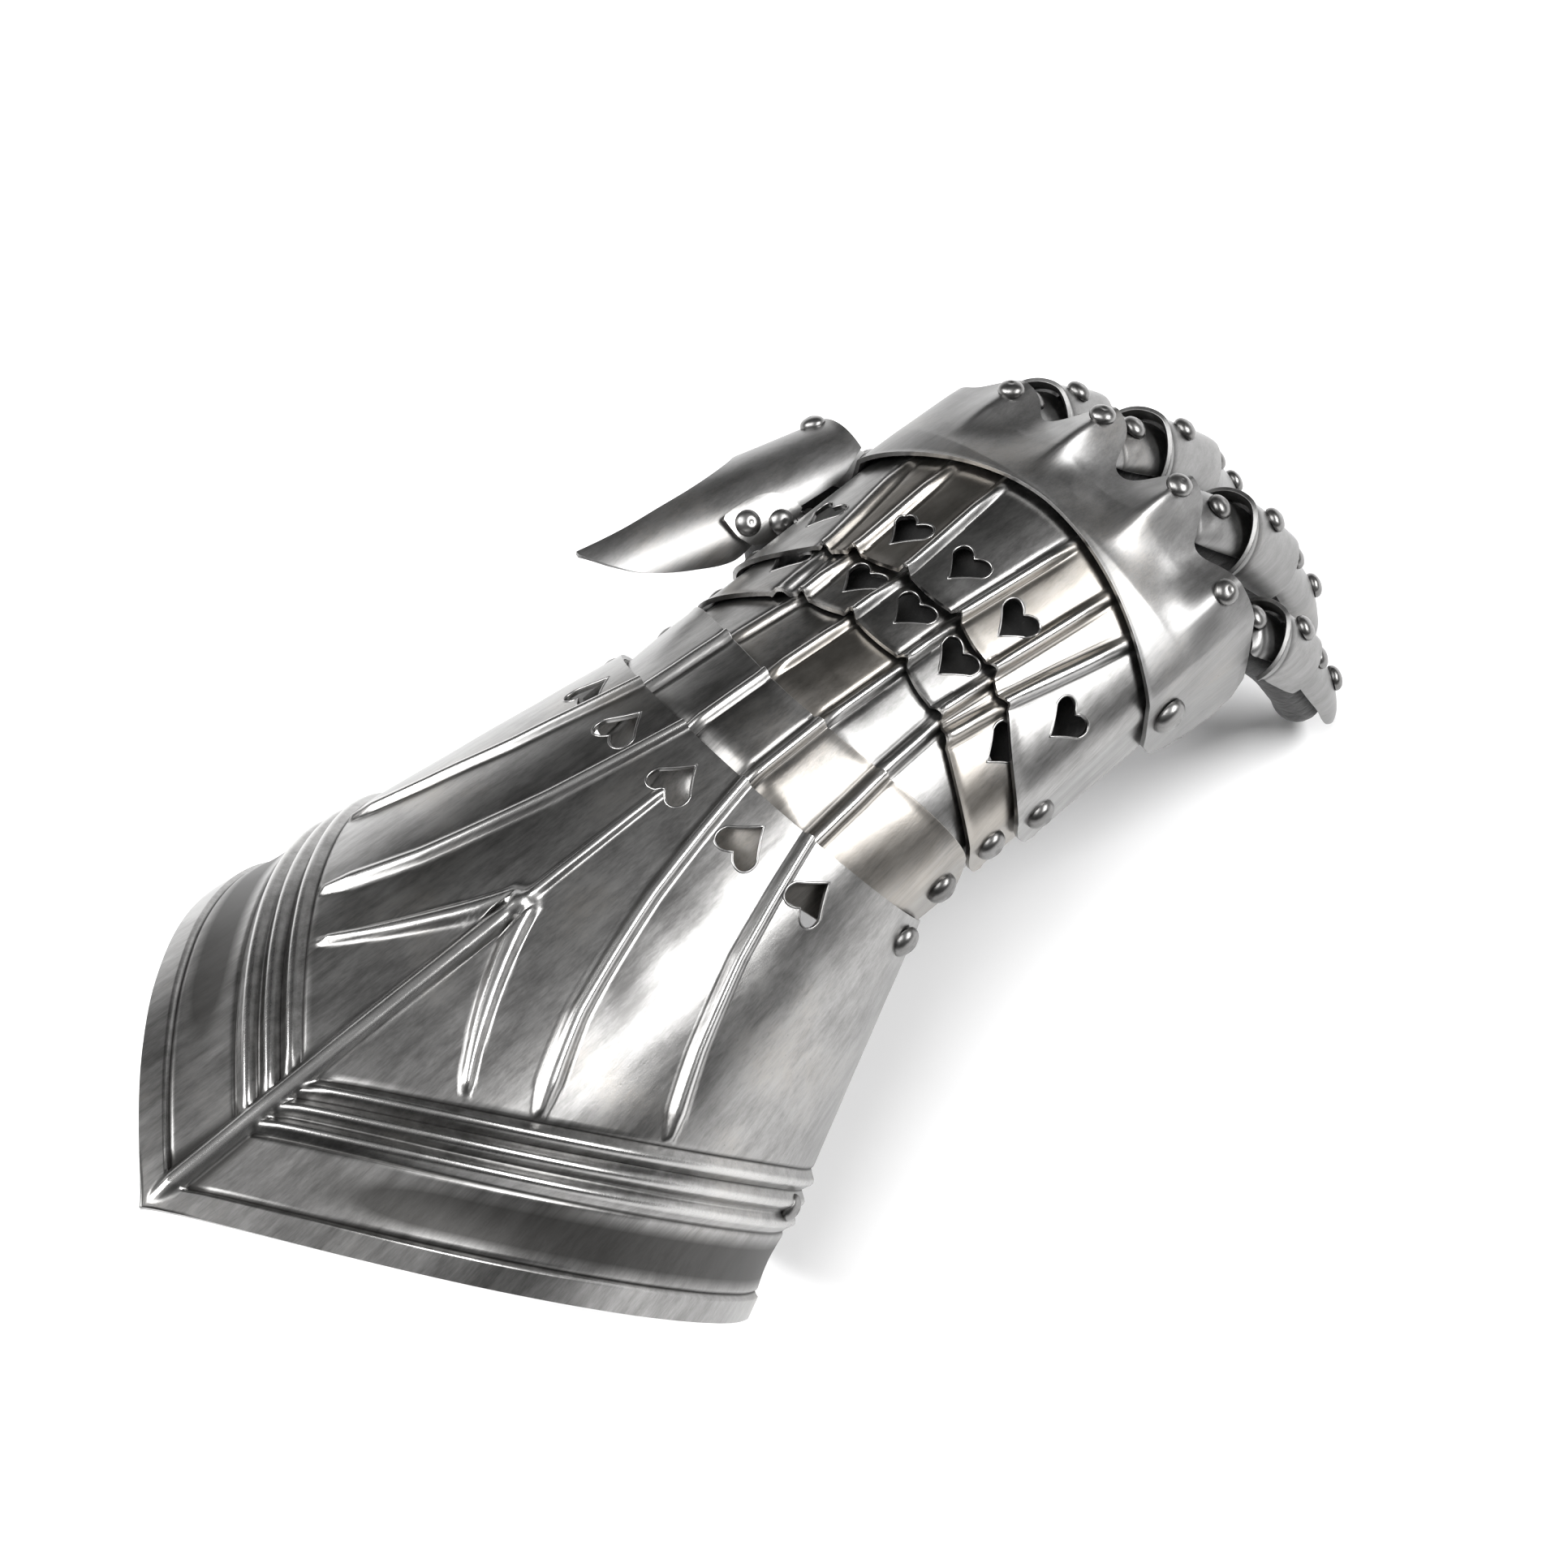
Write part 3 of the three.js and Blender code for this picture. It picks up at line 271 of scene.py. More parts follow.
def rivetShape(point, normal, radius, height, reach, dimple):
    # domed head; on the far side a shank and its hammered end
    ring = [(0.0, height * (1 - dimple)), (radius * 0.16, height * (1 - dimple * 0.8)),
            (radius * 0.3, height * 0.99)]
    for angle in (28, 40, 52, 64, 75, 84):
        a = math.radians(angle)
        ring.append((radius * math.sin(a) ** 0.95, height * math.cos(a) ** 0.8))
    ring += [(radius, 0.12), (radius * 0.97, -0.25)]
    if reach > 0:
        shank, end = rivet["shank"], rivet["endRadius"]
        ring += [(shank, -0.3), (shank, -reach), (end, -reach), (end - 0.2, -reach - 0.5),
                 (shank, -reach - rivet["endHeight"])]
    ring.append((0.0, ring[-1][1] - 0.05))
    x, y, z = frameOn(point, normal, (0.31, 0.2, 0.93) if abs(normal[2]) < 0.9 else (1, 0, 0))
    sides = rivet["sides"]
    vertices, faces = [], []
    for r, h in ring[1:-1]:
        for k in range(sides):
            t = 2 * math.pi * k / sides
            vertices.append(point + x * r * math.cos(t) + y * r * math.sin(t) + z * h)
    top, bottom = len(vertices), len(vertices) + 1
    vertices += [point + z * ring[0][1], point + z * ring[-1][1]]
    for i in range(len(ring) - 3):
        for k in range(sides):
            n = (k + 1) % sides
            faces.append([i * sides + k, (i + 1) * sides + k, (i + 1) * sides + n, i * sides + n])
    last = (len(ring) - 3) * sides
    for k in range(sides):
        n = (k + 1) % sides
        faces.append([top, k, n])
        faces.append([bottom, last + n, last + k])
    return vertices, faces


def rivetsObject(name, rivets, body):
    vertices, faces = [], []
    for item in rivets:
        radius, height = rivet[item.get("head", "small")]
        seat = item["point"] - item["normal"] * item.get("sink", rivet["sink"])
        points, quads = rivetShape(seat, item["normal"], radius, height, item.get("reach", 0), item["dimple"])
        start = len(vertices)
        vertices += points
        faces += [[i + start for i in face] for face in quads]
    obj = addObject(name, np.array(vertices), faces, shade=rivet["sharp"])
    obj.data.materials.append(rivetSteel)
    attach(obj, body)


def pivotPair(x, half, reach, dimple, head="pivot", z=0.0):
    # one rivet on each side of the hand, pointing straight out
    return [{"point": np.array([x, side * half, z]), "normal": np.array([0.0, side, 0]), "head": head,
             "reach": reach, "dimple": dimple} for side in (1, -1)]


def finishPlate(obj, body, node, material):
    obj.data.materials.append(material)
    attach(obj, body)
    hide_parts(node)


class Signal:
    # wraps a socket so that sums on it add Math nodes
    def __init__(self, paint, socket):
        self.paint = paint
        self.socket = socket

    def maths(self, operation, first, second):
        return self.paint.node("ShaderNodeMath", {"operation": operation}, {0: first, 1: second})

    def __add__(self, other):
        return self.maths("ADD", self, other)

    def __radd__(self, other):
        return self.maths("ADD", other, self)

    def __sub__(self, other):
        return self.maths("SUBTRACT", self, other)

    def __rsub__(self, other):
        return self.maths("SUBTRACT", other, self)

    def __mul__(self, other):
        return self.maths("MULTIPLY", self, other)

    def __rmul__(self, other):
        return self.maths("MULTIPLY", other, self)

    def clamped(self):
        return self.paint.node("ShaderNodeClamp", {}, {0: self, 1: 0.0, 2: 1.0})

    def between(self, low, high):
        return self.paint.node("ShaderNodeMapRange", {"interpolation_type": "SMOOTHSTEP"},
                               {"Value": self, "From Min": low, "From Max": high})


class Paint:
    def __init__(self, holder):
        self.holder = holder
        self.holder.use_nodes = True
        self.tree = self.holder.node_tree
        self.tree.nodes.clear()

    def node(self, kind, settings, inputs, output=0):
        made = self.tree.nodes.new(kind)
        for key, value in settings.items():
            if key == "stops":
                ramp = made.color_ramp
                while len(ramp.elements) < len(value):
                    ramp.elements.new(0.5)
                for element, (place, colour) in zip(ramp.elements, value):
                    element.position = place
                    element.color = colour
            else:
                setattr(made, key, value)
        for key, value in inputs.items():
            socket = made.inputs[key]
            if isinstance(value, Signal):
                self.tree.links.new(value.socket, socket)
            else:
                socket.default_value = value
        return Signal(self, made.outputs[output])

    def place(self):
        return self.node("ShaderNodeTexCoord", {}, {}, output=3)  # the object's own metres

    def mark(self, name):
        return self.node("ShaderNodeAttribute", {"attribute_name": name}, {}, output=2)

    def bump(self, height, strength, distance):
        return self.node("ShaderNodeBump", {}, {"Strength": strength, "Distance": distance, "Height": height})

    def noise(self, place, scale, detail, rough):
        return self.node("ShaderNodeTexNoise", {}, {"Vector": place, "Scale": scale, "Detail": detail,
                                                    "Roughness": rough})

    def stretched(self, place, scale, spin):
        return self.node("ShaderNodeMapping", {}, {"Vector": place, "Rotation": spin, "Scale": scale})

    def blend(self, factor, first, second):
        # sockets 6 and 7 take the two colours, output 2 gives the mixed one
        return self.node("ShaderNodeMix", {"data_type": "RGBA"}, {0: factor, 6: first, 7: second}, output=2)

    def finish(self, sockets):
        shader = self.node("ShaderNodeBsdfPrincipled", {}, sockets)
        return self.surface(shader, "ShaderNodeOutputMaterial")

    def surface(self, shader, kind):
        end = self.tree.nodes.new(kind)
        self.tree.links.new(shader.socket, end.inputs["Surface"])
        return self.holder


def grey(level, warm=0.0):
    return (level * (1 + warm), level, level * (1 - warm * 1.3), 1)


# groove is painted shade for the grooves and incised lines, and also the real dark of the pits; edge is a
# painted highlight for the raised lines
steelLook = {"clean": grey(0.33, 0.01), "dark": grey(0.16, 0.015), "warm": grey(0.27, 0.12),
             "groove": grey(0.025, 0.04), "edge": grey(0.66, 0.01), "rough": (0.22, 0.38), "brush": 0.16,
             "pits": 0.22, "bump": 0.00012, "anisotropy": 0.25, "patchScale": 38.0, "cloudScale": 110.0,
             "pitScale": 420.0, "strokes": (60, 2600, 2600), "fineStrokes": (220, 7000, 7000),
             "streaks": (22, 420, 420), "crossStrokes": (5200, 140, 5200)}


def makeSteel(name, look, brushSpin):
    # brushed, clouded steel: painted shade in the grooves, a painted highlight on the raised lines, some
    # panels browner
    paint = Paint(bpy.data.materials.new(name))
    place = paint.place()
    relief = paint.mark("relief")
    patches = paint.noise(place, look["patchScale"], 3.0, 0.55)
    clouds = paint.noise(place, look["cloudScale"], 4.0, 0.6)
    strokes = paint.noise(paint.stretched(place, look["strokes"], brushSpin), 1.0, 3.0, 0.7)
    fine = paint.noise(paint.stretched(place, look["fineStrokes"], brushSpin), 1.0, 2.0, 0.6)
    streaks = paint.noise(paint.stretched(place, look["streaks"], brushSpin), 1.0, 4.0, 0.65)
    cross = paint.noise(paint.stretched(place, look["crossStrokes"], brushSpin), 1.0, 2.0, 0.6)
    pitField = paint.node("ShaderNodeTexVoronoi", {"feature": "F1"},
                          {"Vector": place, "Scale": look["pitScale"]})
    pits = (1 - pitField.between(0.05, 0.13)) * patches.between(0.52, 0.66) * look["pits"]
    # painted shade: the grooves and incised lines are darkened where shade falls
    groove = (relief * -3.0).clamped()
    # painted highlight: the crests of the raised lines are lightened
    crest = relief.between(0.9, 1.7)
    tint = paint.mark("tint")
    tone = (patches * 0.4 + clouds * 0.25 + strokes * 0.3 + streaks * 0.55).between(0.5, 0.98)
    colour = paint.blend(tone, look["dark"], look["clean"])
    warmth = (patches * 0.8 + strokes * 0.5 + tint * 0.6 - 0.3).between(0.55, 0.95)
    colour = paint.blend(warmth * 0.5, colour, look["warm"])
    # painted shade in the grooves, together with the real dark of the pits
    colour = paint.blend((groove * 0.85 + pits).clamped(), colour, look["groove"])
    # painted highlight on the raised lines
    colour = paint.blend(crest * 0.5, colour, look["edge"])
    low, high = look["rough"]
    worn = clouds * 0.3 + strokes * 0.3 + streaks * 0.5
    roughness = (low + (high - low) * worn + groove * 0.2 + pits * 0.3 - crest * 0.05).clamped()
    height = strokes * look["brush"] + fine * look["brush"] * 0.6 + cross * look["brush"] * 0.35 - pits * 0.6
    return paint.finish({"Base Color": colour, "Metallic": 1.0, "Roughness": roughness,
                         "Normal": paint.bump(height, 0.5, look["bump"]), "Anisotropic": look["anisotropy"]})


plateSteel = makeSteel("plate_steel", steelLook, (0, 0, math.radians(8)))
crossSteel = makeSteel("lame_steel", steelLook, (0, 0, math.radians(96)))
satinLook = dict(steelLook, clean=grey(0.27, 0.005), dark=grey(0.17, 0.01), rough=(0.32, 0.46), pits=0.12)
satinSteel = makeSteel("satin_steel", satinLook, (0, 0, math.radians(-20)))

rivetLook = dict(steelLook, clean=grey(0.24, 0.01), dark=grey(0.12, 0.02), warm=grey(0.15, 0.08),
                 rough=(0.22, 0.42), pits=0.6)
rivetSteel = makeSteel("rivet_steel", rivetLook, (0.4, 0.2, 0.9))

leather = {"base": grey(0.010), "scuffed": grey(0.030, 0.03), "nap": grey(0.055, 0.02), "rough": 0.82,
           "sheen": 0.25, "bump": 0.0003, "napScale": 1500.0, "creaseScale": 260.0}


def makeLeather():
    paint = Paint(bpy.data.materials.new("black_suede"))
    place = paint.place()
    nap = paint.noise(place, leather["napScale"], 4.0, 0.7)
    scuffs = paint.noise(place, 60.0, 4.0, 0.6)
    creases = paint.node("ShaderNodeTexVoronoi", {"feature": "DISTANCE_TO_EDGE"},
                         {"Vector": place, "Scale": leather["creaseScale"]})
    colour = paint.blend(scuffs.between(0.45, 0.75), leather["base"], leather["scuffed"])
    colour = paint.blend(nap.between(0.55, 0.8) * 0.5, colour, leather["nap"])
    height = nap * 0.6 + creases.between(0.0, 0.25) * 0.4
    return paint.finish({"Base Color": colour, "Roughness": (leather["rough"] + scuffs * 0.18).clamped(),
                         "Normal": paint.bump(height, 0.6, leather["bump"]),
                         "Sheen Weight": leather["sheen"]})


suede = makeLeather()
print("materials made")

# u runs from the wrist to the rim in mm, the angle goes round from the middle line in radians,
# and f is 0 at the wrist, 1 where the ribs begin and 1.6 at the rim
cuff = {"x": -26, "z": 0.5, "lean": 26.4, "span": 170, "bulge": 0.09, "halfWidth": 46.55, "spread": 50,
        "halfHeight": 39.3, "rise": 83.6, "sideLength": 94, "pointLength": 41, "pointPower": 0.87,
        "edgeAngle": 1.75, "rimAt": 1.6, "round": 0.3, "wave": 0.07,
        # the ribs along the rim, at mm from it
        "ribZone": 36.5, "border": 5.7, "borderStep": 0.8, "ribs": (33.0, 28.1, 23.3), "ribHeight": 1.5,
        "ribWidth": 1.5, "cuts": (35.6, 30.5, 25.7, 20.6), "cutDepth": 0.4, "cutWidth": 0.4, "dish": 0.5,
        # the raised lines: each table is (f, value)
        "fluteHeight": 1.8, "fluteFade": [(0, 1), (0.9, 1), (0.985, 0.55), (1, 0)],
        "fluteWidth": [(0, 1.3), (0.6, 1.5), (0.9, 1.7), (1, 0.9)],
        "ridgeHeight": [(0.1, 0), (0.15, 1.3), (0.46, 1.5), (0.54, 2.3), (1, 2.2), (1.5, 2.0), (1.57, 0.6),
                        (1.6, 0)],
        "ridgeWidth": [(0.1, 1.0), (0.48, 1.2), (0.56, 1.9), (1.6, 1.8)],
        "armHeight": 2.0, "armFade": [(0.49, 0), (0.5, 1), (0.95, 0.9), (0.99, 0)],
        "armWidth": [(0.5, 1.9), (0.75, 1.6), (1, 0.8)], "forkAt": 0.5, "boss": 2.7, "bossRadius": 3.4,
        "groove": 0.45, "armGroove": 0.5, "hollow": 0.35,
        # pierced hearts and rivets
        "heartAt": 9.6, "heartAngles": (0, 0.404, -0.404, 0.802, -0.802), "heartSize": (11.5, 10.5),
        "sideRivet": (67, 1.645), "pivot": (-31, 48.1, -1.5)}
leanSin, leanCos = math.sin(math.radians(cuff["lean"])), math.cos(math.radians(cuff["lean"]))
cuffInside = (-90, 0, -20)


def cuffSize(u):
    t = u / cuff["span"]
    grow = t - cuff["bulge"] * t * (t - 1)
    return cuff["halfWidth"] + cuff["spread"] * grow, cuff["halfHeight"] + cuff["rise"] * grow


def cuffSpace(u, y, w):
    x = cuff["x"] - u * leanCos - w * leanSin
    z = cuff["z"] - u * leanSin + w * leanCos
    return np.stack([x, y, z], axis=-1)


def cuffSurface(u, angle):
    a, w = cuffSize(u)
    return cuffSpace(u, -a * np.sin(angle), w * np.cos(angle))


def cuffRim(angle):
    t = np.minimum(np.abs(angle), math.pi / 2)
    return cuff["sideLength"] + cuff["pointLength"] * (1 - np.sin(t) ** cuff["pointPower"])


innerFlute = [(0, 0.205), (0.35, 0.29), (0.7, 0.40), (1, 0.527), (1.6, 0.62)]
outerFlute = [(0, 0.61), (0.4, 0.7), (0.7, 0.79), (1, 0.896), (1.6, 0.98)]
armLine = [(0, 0.03), (0.5, 0.03), (1, 0.345), (1.6, 0.45)]
columnSteps = np.array([0, 0.45, 0.9, 1.3, 1.75, 2.2, 2.9, 4.0])  # mm from a raised line
columnRadius = 62


def bead(d, height, width, groove):
    # rounded raised line, d mm from its crest, with an incised line at each foot
    body = np.exp(-np.abs(d / width) ** 3.2) * height
    lines = np.exp(-((np.abs(d) - width * 1.5) / 0.4) ** 2) * groove
    return body - lines


def cuffColumnsAt(f):
    # angles across half the cuff for one row; columns crowd about each raised line
    near = np.concatenate([-columnSteps[:0:-1], columnSteps]) / columnRadius
    ridge = near[7:13]
    arm = float(along(armLine, f))
    leastGap = 0.014
    squeeze = min((arm + near[-1] - ridge[-1] - leastGap) / (2 * near[-1]), 1)
    armColumns = arm + near[-1] + (near - near[-1]) * squeeze
    parts = [ridge, np.linspace(ridge[-1], armColumns[0], 10)[1:-1], armColumns]
    for line, gaps in ((innerFlute, 14), (outerFlute, 10)):
        columns = float(along(line, f)) + near
        parts += [np.linspace(parts[-1][-1], columns[0], gaps)[1:-1], columns]
    parts.append(np.linspace(parts[-1][-1], cuff["edgeAngle"], 26)[1:])
    return np.concatenate(parts)


def panelRelief(f, size, girth, ridge, onRidge):
    # flutes, forked arms and boss between the wrist and the ribs
    fade, width = along(cuff["fluteFade"], f), along(cuff["fluteWidth"], f)
    height = 0
    for line in (innerFlute, outerFlute):
        height = height + bead((size - along(line, f)) * girth, cuff["fluteHeight"] * fade, width,
                               cuff["groove"] * fade)
    armFade = along(cuff["armFade"], f)
    arm = bead((size - along(armLine, f)) * girth, cuff["armHeight"] * armFade, along(cuff["armWidth"], f),
               cuff["armGroove"] * armFade)
    height = np.where(np.abs(arm) > np.abs(height), arm, height)
    # small boss where the arms leave the ridge
    alongRidge = (f - cuff["forkAt"]) * (cuff["sideLength"] + cuff["pointLength"] - cuff["ribZone"])
    away = np.abs(size * girth) + abs(alongRidge) * 0.8
    boss = cuff["boss"] * np.exp(-(away / cuff["bossRadius"]) ** 3)
    # each panel is hollowed a little between its lines
    across = np.clip(size / np.maximum(along(innerFlute, f), 0.01), 0, 1)
    hollow = -cuff["hollow"] * np.sin(math.pi * across) ** 2 * smooth(f, 0.1, 0.4)
    panel = np.where(onRidge, np.maximum(ridge, 0), height + hollow + np.minimum(ridge, 0))
    return np.maximum(panel, boss)


def rimRelief(value, size, ridge, onRidge):
    # ribs, incised lines and stepped border, at value mm from the rim
    border = cuff["border"]
    ribs = sum(np.exp(-(np.abs(value - d) / cuff["ribWidth"]) ** 2.4) for d in cuff["ribs"])
    cuts = sum(np.exp(-((value - d) / cuff["cutWidth"]) ** 2) for d in cuff["cuts"]) * cuff["cutDepth"]
    cuts = cuts + cuff["cutDepth"] * math.exp(-((value - border - 0.5) / cuff["cutWidth"]) ** 2)
    step = cuff["borderStep"] * smooth(border + 0.2 - value, 0, 0.5)
    dish = -cuff["dish"] * math.sin(math.pi * min(max((value - 6.5) / 13, 0), 1)) * smooth(size, 0.05, 0.5)
    band = ribs * cuff["ribHeight"] - cuts + step + dish
    return np.where(onRidge, np.maximum(ridge, band * 0.6), band + np.minimum(ridge, 0))


def makeCuff():
    rows = [("panel", f) for f in spaced([0, 0.08, 1], 0.0135)]
    bands = np.concatenate([np.arange(cuff["ribZone"] - 0.5, 18.5, -0.42), np.arange(18.5, 7.0, -1.1),
                            np.arange(7.0, 0.2, -0.42), [0.0]])
    rows += [("band", d) for d in bands]
    base, relief = [], []
    for kind, value in rows:
        f = value if kind == "panel" else mix(1, cuff["rimAt"], 1 - value / cuff["ribZone"])
        half = cuffColumnsAt(f)
        angle = np.concatenate([-half[:0:-1], half])
        size = np.abs(angle)
        rim = cuffRim(angle)
        u = value * (rim - cuff["ribZone"]) if kind == "panel" else rim - value
        girth = cuffSize(float(np.mean(u)))[0]
        ridgeTop = float(along(cuff["ridgeHeight"], f))
        ridgeWidth = float(along(cuff["ridgeWidth"], f))
        ridge = bead(size * girth, ridgeTop, ridgeWidth, cuff["groove"] * (ridgeTop > 0))
        onRidge = (size * girth < ridgeWidth * 1.35) & (ridgeTop > 0)
        if kind == "panel":
            relief.append(panelRelief(f, size, girth, ridge, onRidge))
        else:
            relief.append(rimRelief(value, size, ridge, onRidge))
        base.append(cuffSurface(u, angle))
    obj = sheetObject("cuff", np.array(base), np.array(relief), cuffInside, wave=cuff["wave"])
    hearts = [spot(cuffSurface, cuff["heartAt"], angle, cuffInside) for angle in cuff["heartAngles"]]
    tip, size = (1, 0, 0), cuff["heartSize"]
    heartRims("cuff_heart_rims", obj, hearts, tip, size, "cuff")
    cutAndSoften(obj, [heartCutter(point, normal, tip, size) for point, normal in hearts], cuff["round"])
    finishPlate(obj, "cuff", "cuff_plate", plateSteel)
    rivets = []
    x, half, z = cuff["pivot"]
    for side, pivot in zip((1, -1), pivotPair(x, half, 5.4, 0.12, z=z)):
        u, angle = cuff["sideRivet"]
        point, normal = spot(cuffSurface, u, side * angle, cuffInside)
        rivets += [{"point": point, "normal": normal, "reach": 3.2, "dimple": 0.1, "sink": -0.3}, pivot]
    rivetsObject("cuff_rivets", rivets, "cuff")


# the plate that closes the underside, tucked inside the cuff's side edges
under = {"depth": 32, "slope": 0.25, "start": 17, "deepStart": 38, "end": 92.6, "tuck": 1.42, "square": 0.78,
         "gap": 0.5, "lip": 0.6}


def makeCuffInner():
    gap = sheetThickness + under["gap"]
    half = np.concatenate([np.linspace(under["tuck"], 1.9, 14), np.linspace(1.9, math.pi, 34)[1:]])
    angle = np.concatenate([half, (2 * math.pi - half)[-2::-1]])
    c, s = np.cos(angle), np.sin(angle)
    start = mix(under["start"], under["deepStart"], np.maximum(-c, 0) ** 0.6)
    rows, relief = [], []
    for t in spaced([0, 0.03, 0.9, 1], 0.03):
        u = mix(start, under["end"], t)
        a, w = cuffSize(u)
        low = under["depth"] + under["slope"] * u
        up = np.clip((c + 0.35) / 0.35, 0, 1)
        height = np.where(c < 0, -low * np.abs(c) ** under["square"], mix(low, w - gap, up) * c)
        square = np.where(c < 0, np.sign(s) * np.abs(s) ** under["square"], s)
        rows.append(cuffSpace(u, -(a - gap) * square, height))
        edge = (t > 0.93) * 0.5 + 0.35 * (t < 0.02)
        relief.append(np.full(len(angle), edge) * smooth(np.abs(angle - math.pi), 1.75, 1.4))
    obj = sheetObject("cuff_lining_plate", np.array(rows), np.array(relief) * under["lip"], cuffInside)
    cutAndSoften(obj)
    finishPlate(obj, "cuff", "cuff_inner_plate", plateSteel)


makeCuff()
makeCuffInner()
print("cuff made")

# section of every plate over the hand: upright sides, then a dome; e and eta are 0 on the middle
# line and 1 at the side
section = {"wall": 4.4, "roundness": 1.6}
handInside = (20, 0, 0)


def dome(eta):
    return np.maximum(1 - np.abs(eta) ** section["roundness"], 0) ** (1 / section["roundness"])


def arcHeight(pivot, radius, x):
    # part of a circle round the pivot, so that the neighbour can slide over it
    return pivot[1] + math.sqrt(max(radius * radius - (x - pivot[0]) ** 2, 1))


def wristAHeight(x):
    return arcHeight((-31, -1.5), 37.0, x) if x < -39 else mix(34.6, 33.2, (x + 39) / 18)


def wristBHeight(x):
    if x < -17:
        return arcHeight((-16, 0), 31.4, x)
    return arcHeight((0, 0), 28.2, x) if x > 3 else mix(31.38, 28.04, (x + 17) / 20)


def lameHeight(x):
    return arcHeight((14, 0), 28.4, x) if x > 20 else mix(30.3, 27.8, max(x, 0) / 20)


def plateHeight(x):
    return arcHeight((55, 0), 27.3, x) if x > 56 else mix(30.0, 27.28, max(x - 20, 0) / 36)


def scallop(lines, y):
    # bow of each panel's rear edge, with a cusp at each raised line
    bow = np.zeros_like(y)
    for a, b in zip(lines[:-1], lines[1:]):
        inside = (y > a) & (y <= b)
        bow = np.where(inside, np.sin(math.pi * np.clip((y - a) / (b - a), 0, 1)) ** 0.75, bow)
    return bow


# lines: distance from the middle at the rear and front edge, and height; fade: (part of the length, share
# of the height); tabs: depth of the sides and how far their ends are drawn in; hearts: (x, y)
lames = [
    {"name": "wrist_lame_rear", "node": "wrist_lame_a", "body": "lame_a", "height": wristAHeight,
     "half": [(-40, 44.2), (-31, 44.3), (-16, 44.9), (-8, 44.9)],
     "lines": [(9.4, 8.6, 1.6), (27.5, 24.5, 1.6)],
     "rear": lambda e: mix(-60, -44, e ** 1.6), "front": lambda e: -20.5 + 12 * e ** 1.6,
     "fade": [(0, 0.6), (0.3, 1), (1, 1)], "tabs": (8.0, 5.0, 5.0), "hearts": [],
     "cusp": 0, "cusps": (0, 1), "pivot": (-16, 44.9), "lip": 1, "steel": crossSteel},
    {"name": "wrist_lame_front", "node": "wrist_lame_b", "body": "lame_b", "height": wristBHeight,
     "half": [(-30, 43.0), (-16, 43.0), (0, 42.3), (10, 42.3)],
     "lines": [(8.6, 8.4, 1.6), (24.5, 21.9, 1.25)],
     "rear": lambda e: mix(-29, -23.5, e ** 1.6), "front": lambda e: mix(14, 7.5, e ** 1.6),
     "fade": [(0, 0.4), (0.22, 0.4), (0.34, 1), (0.65, 1), (1, 0.4)], "tabs": (8.0, 5.0, 5.0), "hearts": [],
     "cusp": 0, "cusps": (0, 1), "pivot": None, "lip": None, "steel": plateSteel},
    {"name": "heart_lame", "node": "metacarpal_lame", "body": "lame_c", "height": lameHeight,
     "half": [(-10, 45.0), (0, 44.7), (14, 44.9), (30, 44.9)],
     "lines": [(8.4, 8.6, 1.8), (21.6, 23.2, 1.9), (26.6, 29.4, 1.3)],
     "rear": lambda e: mix(7.2, -7.5, e ** 2.4), "cusp": 1.9, "cusps": (-8.4, 8.4, 22.3, 44),
     "front": lambda e: mix(29, 21.5, e ** 1.6), "fade": [(0, 1), (0.3, 1), (0.65, 0.55), (1, 0.2)],
     "tabs": (8.0, 5.0, 5.0), "hearts": [(17.2, 0), (16.2, 15), (16.2, -15), (12.4, 35), (12.4, -35)],
     "pivot": (0, 44.7), "lip": 0, "steel": plateSteel},
    {"name": "heart_plate", "node": "metacarpal_plate", "body": "hand", "height": plateHeight,
     "half": [(5, 46.9), (14, 46.9), (55, 47.3), (70, 47.3)],
     "lines": [(8.4, 12.2, 1.8), (22.0, 26.2, 1.8), (28.8, 37.2, 1.6)],
     "rear": lambda e: mix(24.4, 6.2, e ** 2.6), "cusp": 1.9, "cusps": (-8.4, 8.4, 22.6, 29.8, 46.9),
     "front": lambda e: mix(68, 62, e ** 1.6), "fade": [(0, 1), (0.6, 0.9), (0.8, 0.35), (1, 0.1)],
     "tabs": (9.6, 7.0, 3.0), "hearts": [(34.6, 0), (33.4, 17.2), (33.4, -17.2), (28.5, 39.5), (28.5, -39.5)],
     "pivot": (14, 46.9), "lip": 0, "steel": crossSteel},
]


lameLines = {"width": 1.25, "groove": 0.35, "lip": 0.3, "lipLength": 0.035, "heartSize": (11, 10.2)}
panelRandom = np.random.default_rng(5)
beadSteps = np.array([-2.4, -1.95, -1.6, -1.25, -0.8, -0.4, 0, 0.4, 0.8, 1.25, 1.6, 1.95, 2.4])


def lameColumns(crests, halfWidth):
    # distances from the middle line, crowded about each raised line
    parts, last = [np.zeros(1)], 0.0
    for crest in crests:
        steps = crest + beadSteps
        parts.append(np.linspace(last, steps[0], 9)[1:-1])
        parts.append(steps)
        last = steps[-1]
    parts.append(np.linspace(last, halfWidth, 32)[1:])
    return np.concatenate(parts)


def lamePoint(spec, x, eta, drop):
    half = along(spec["half"], x)
    top = np.array([spec["height"](float(v)) for v in np.atleast_1d(x)])
    z = np.where(drop > 0, mix(section["wall"], -spec["tabs"][0], drop), mix(section["wall"], top, dome(eta)))
    return half * eta, z


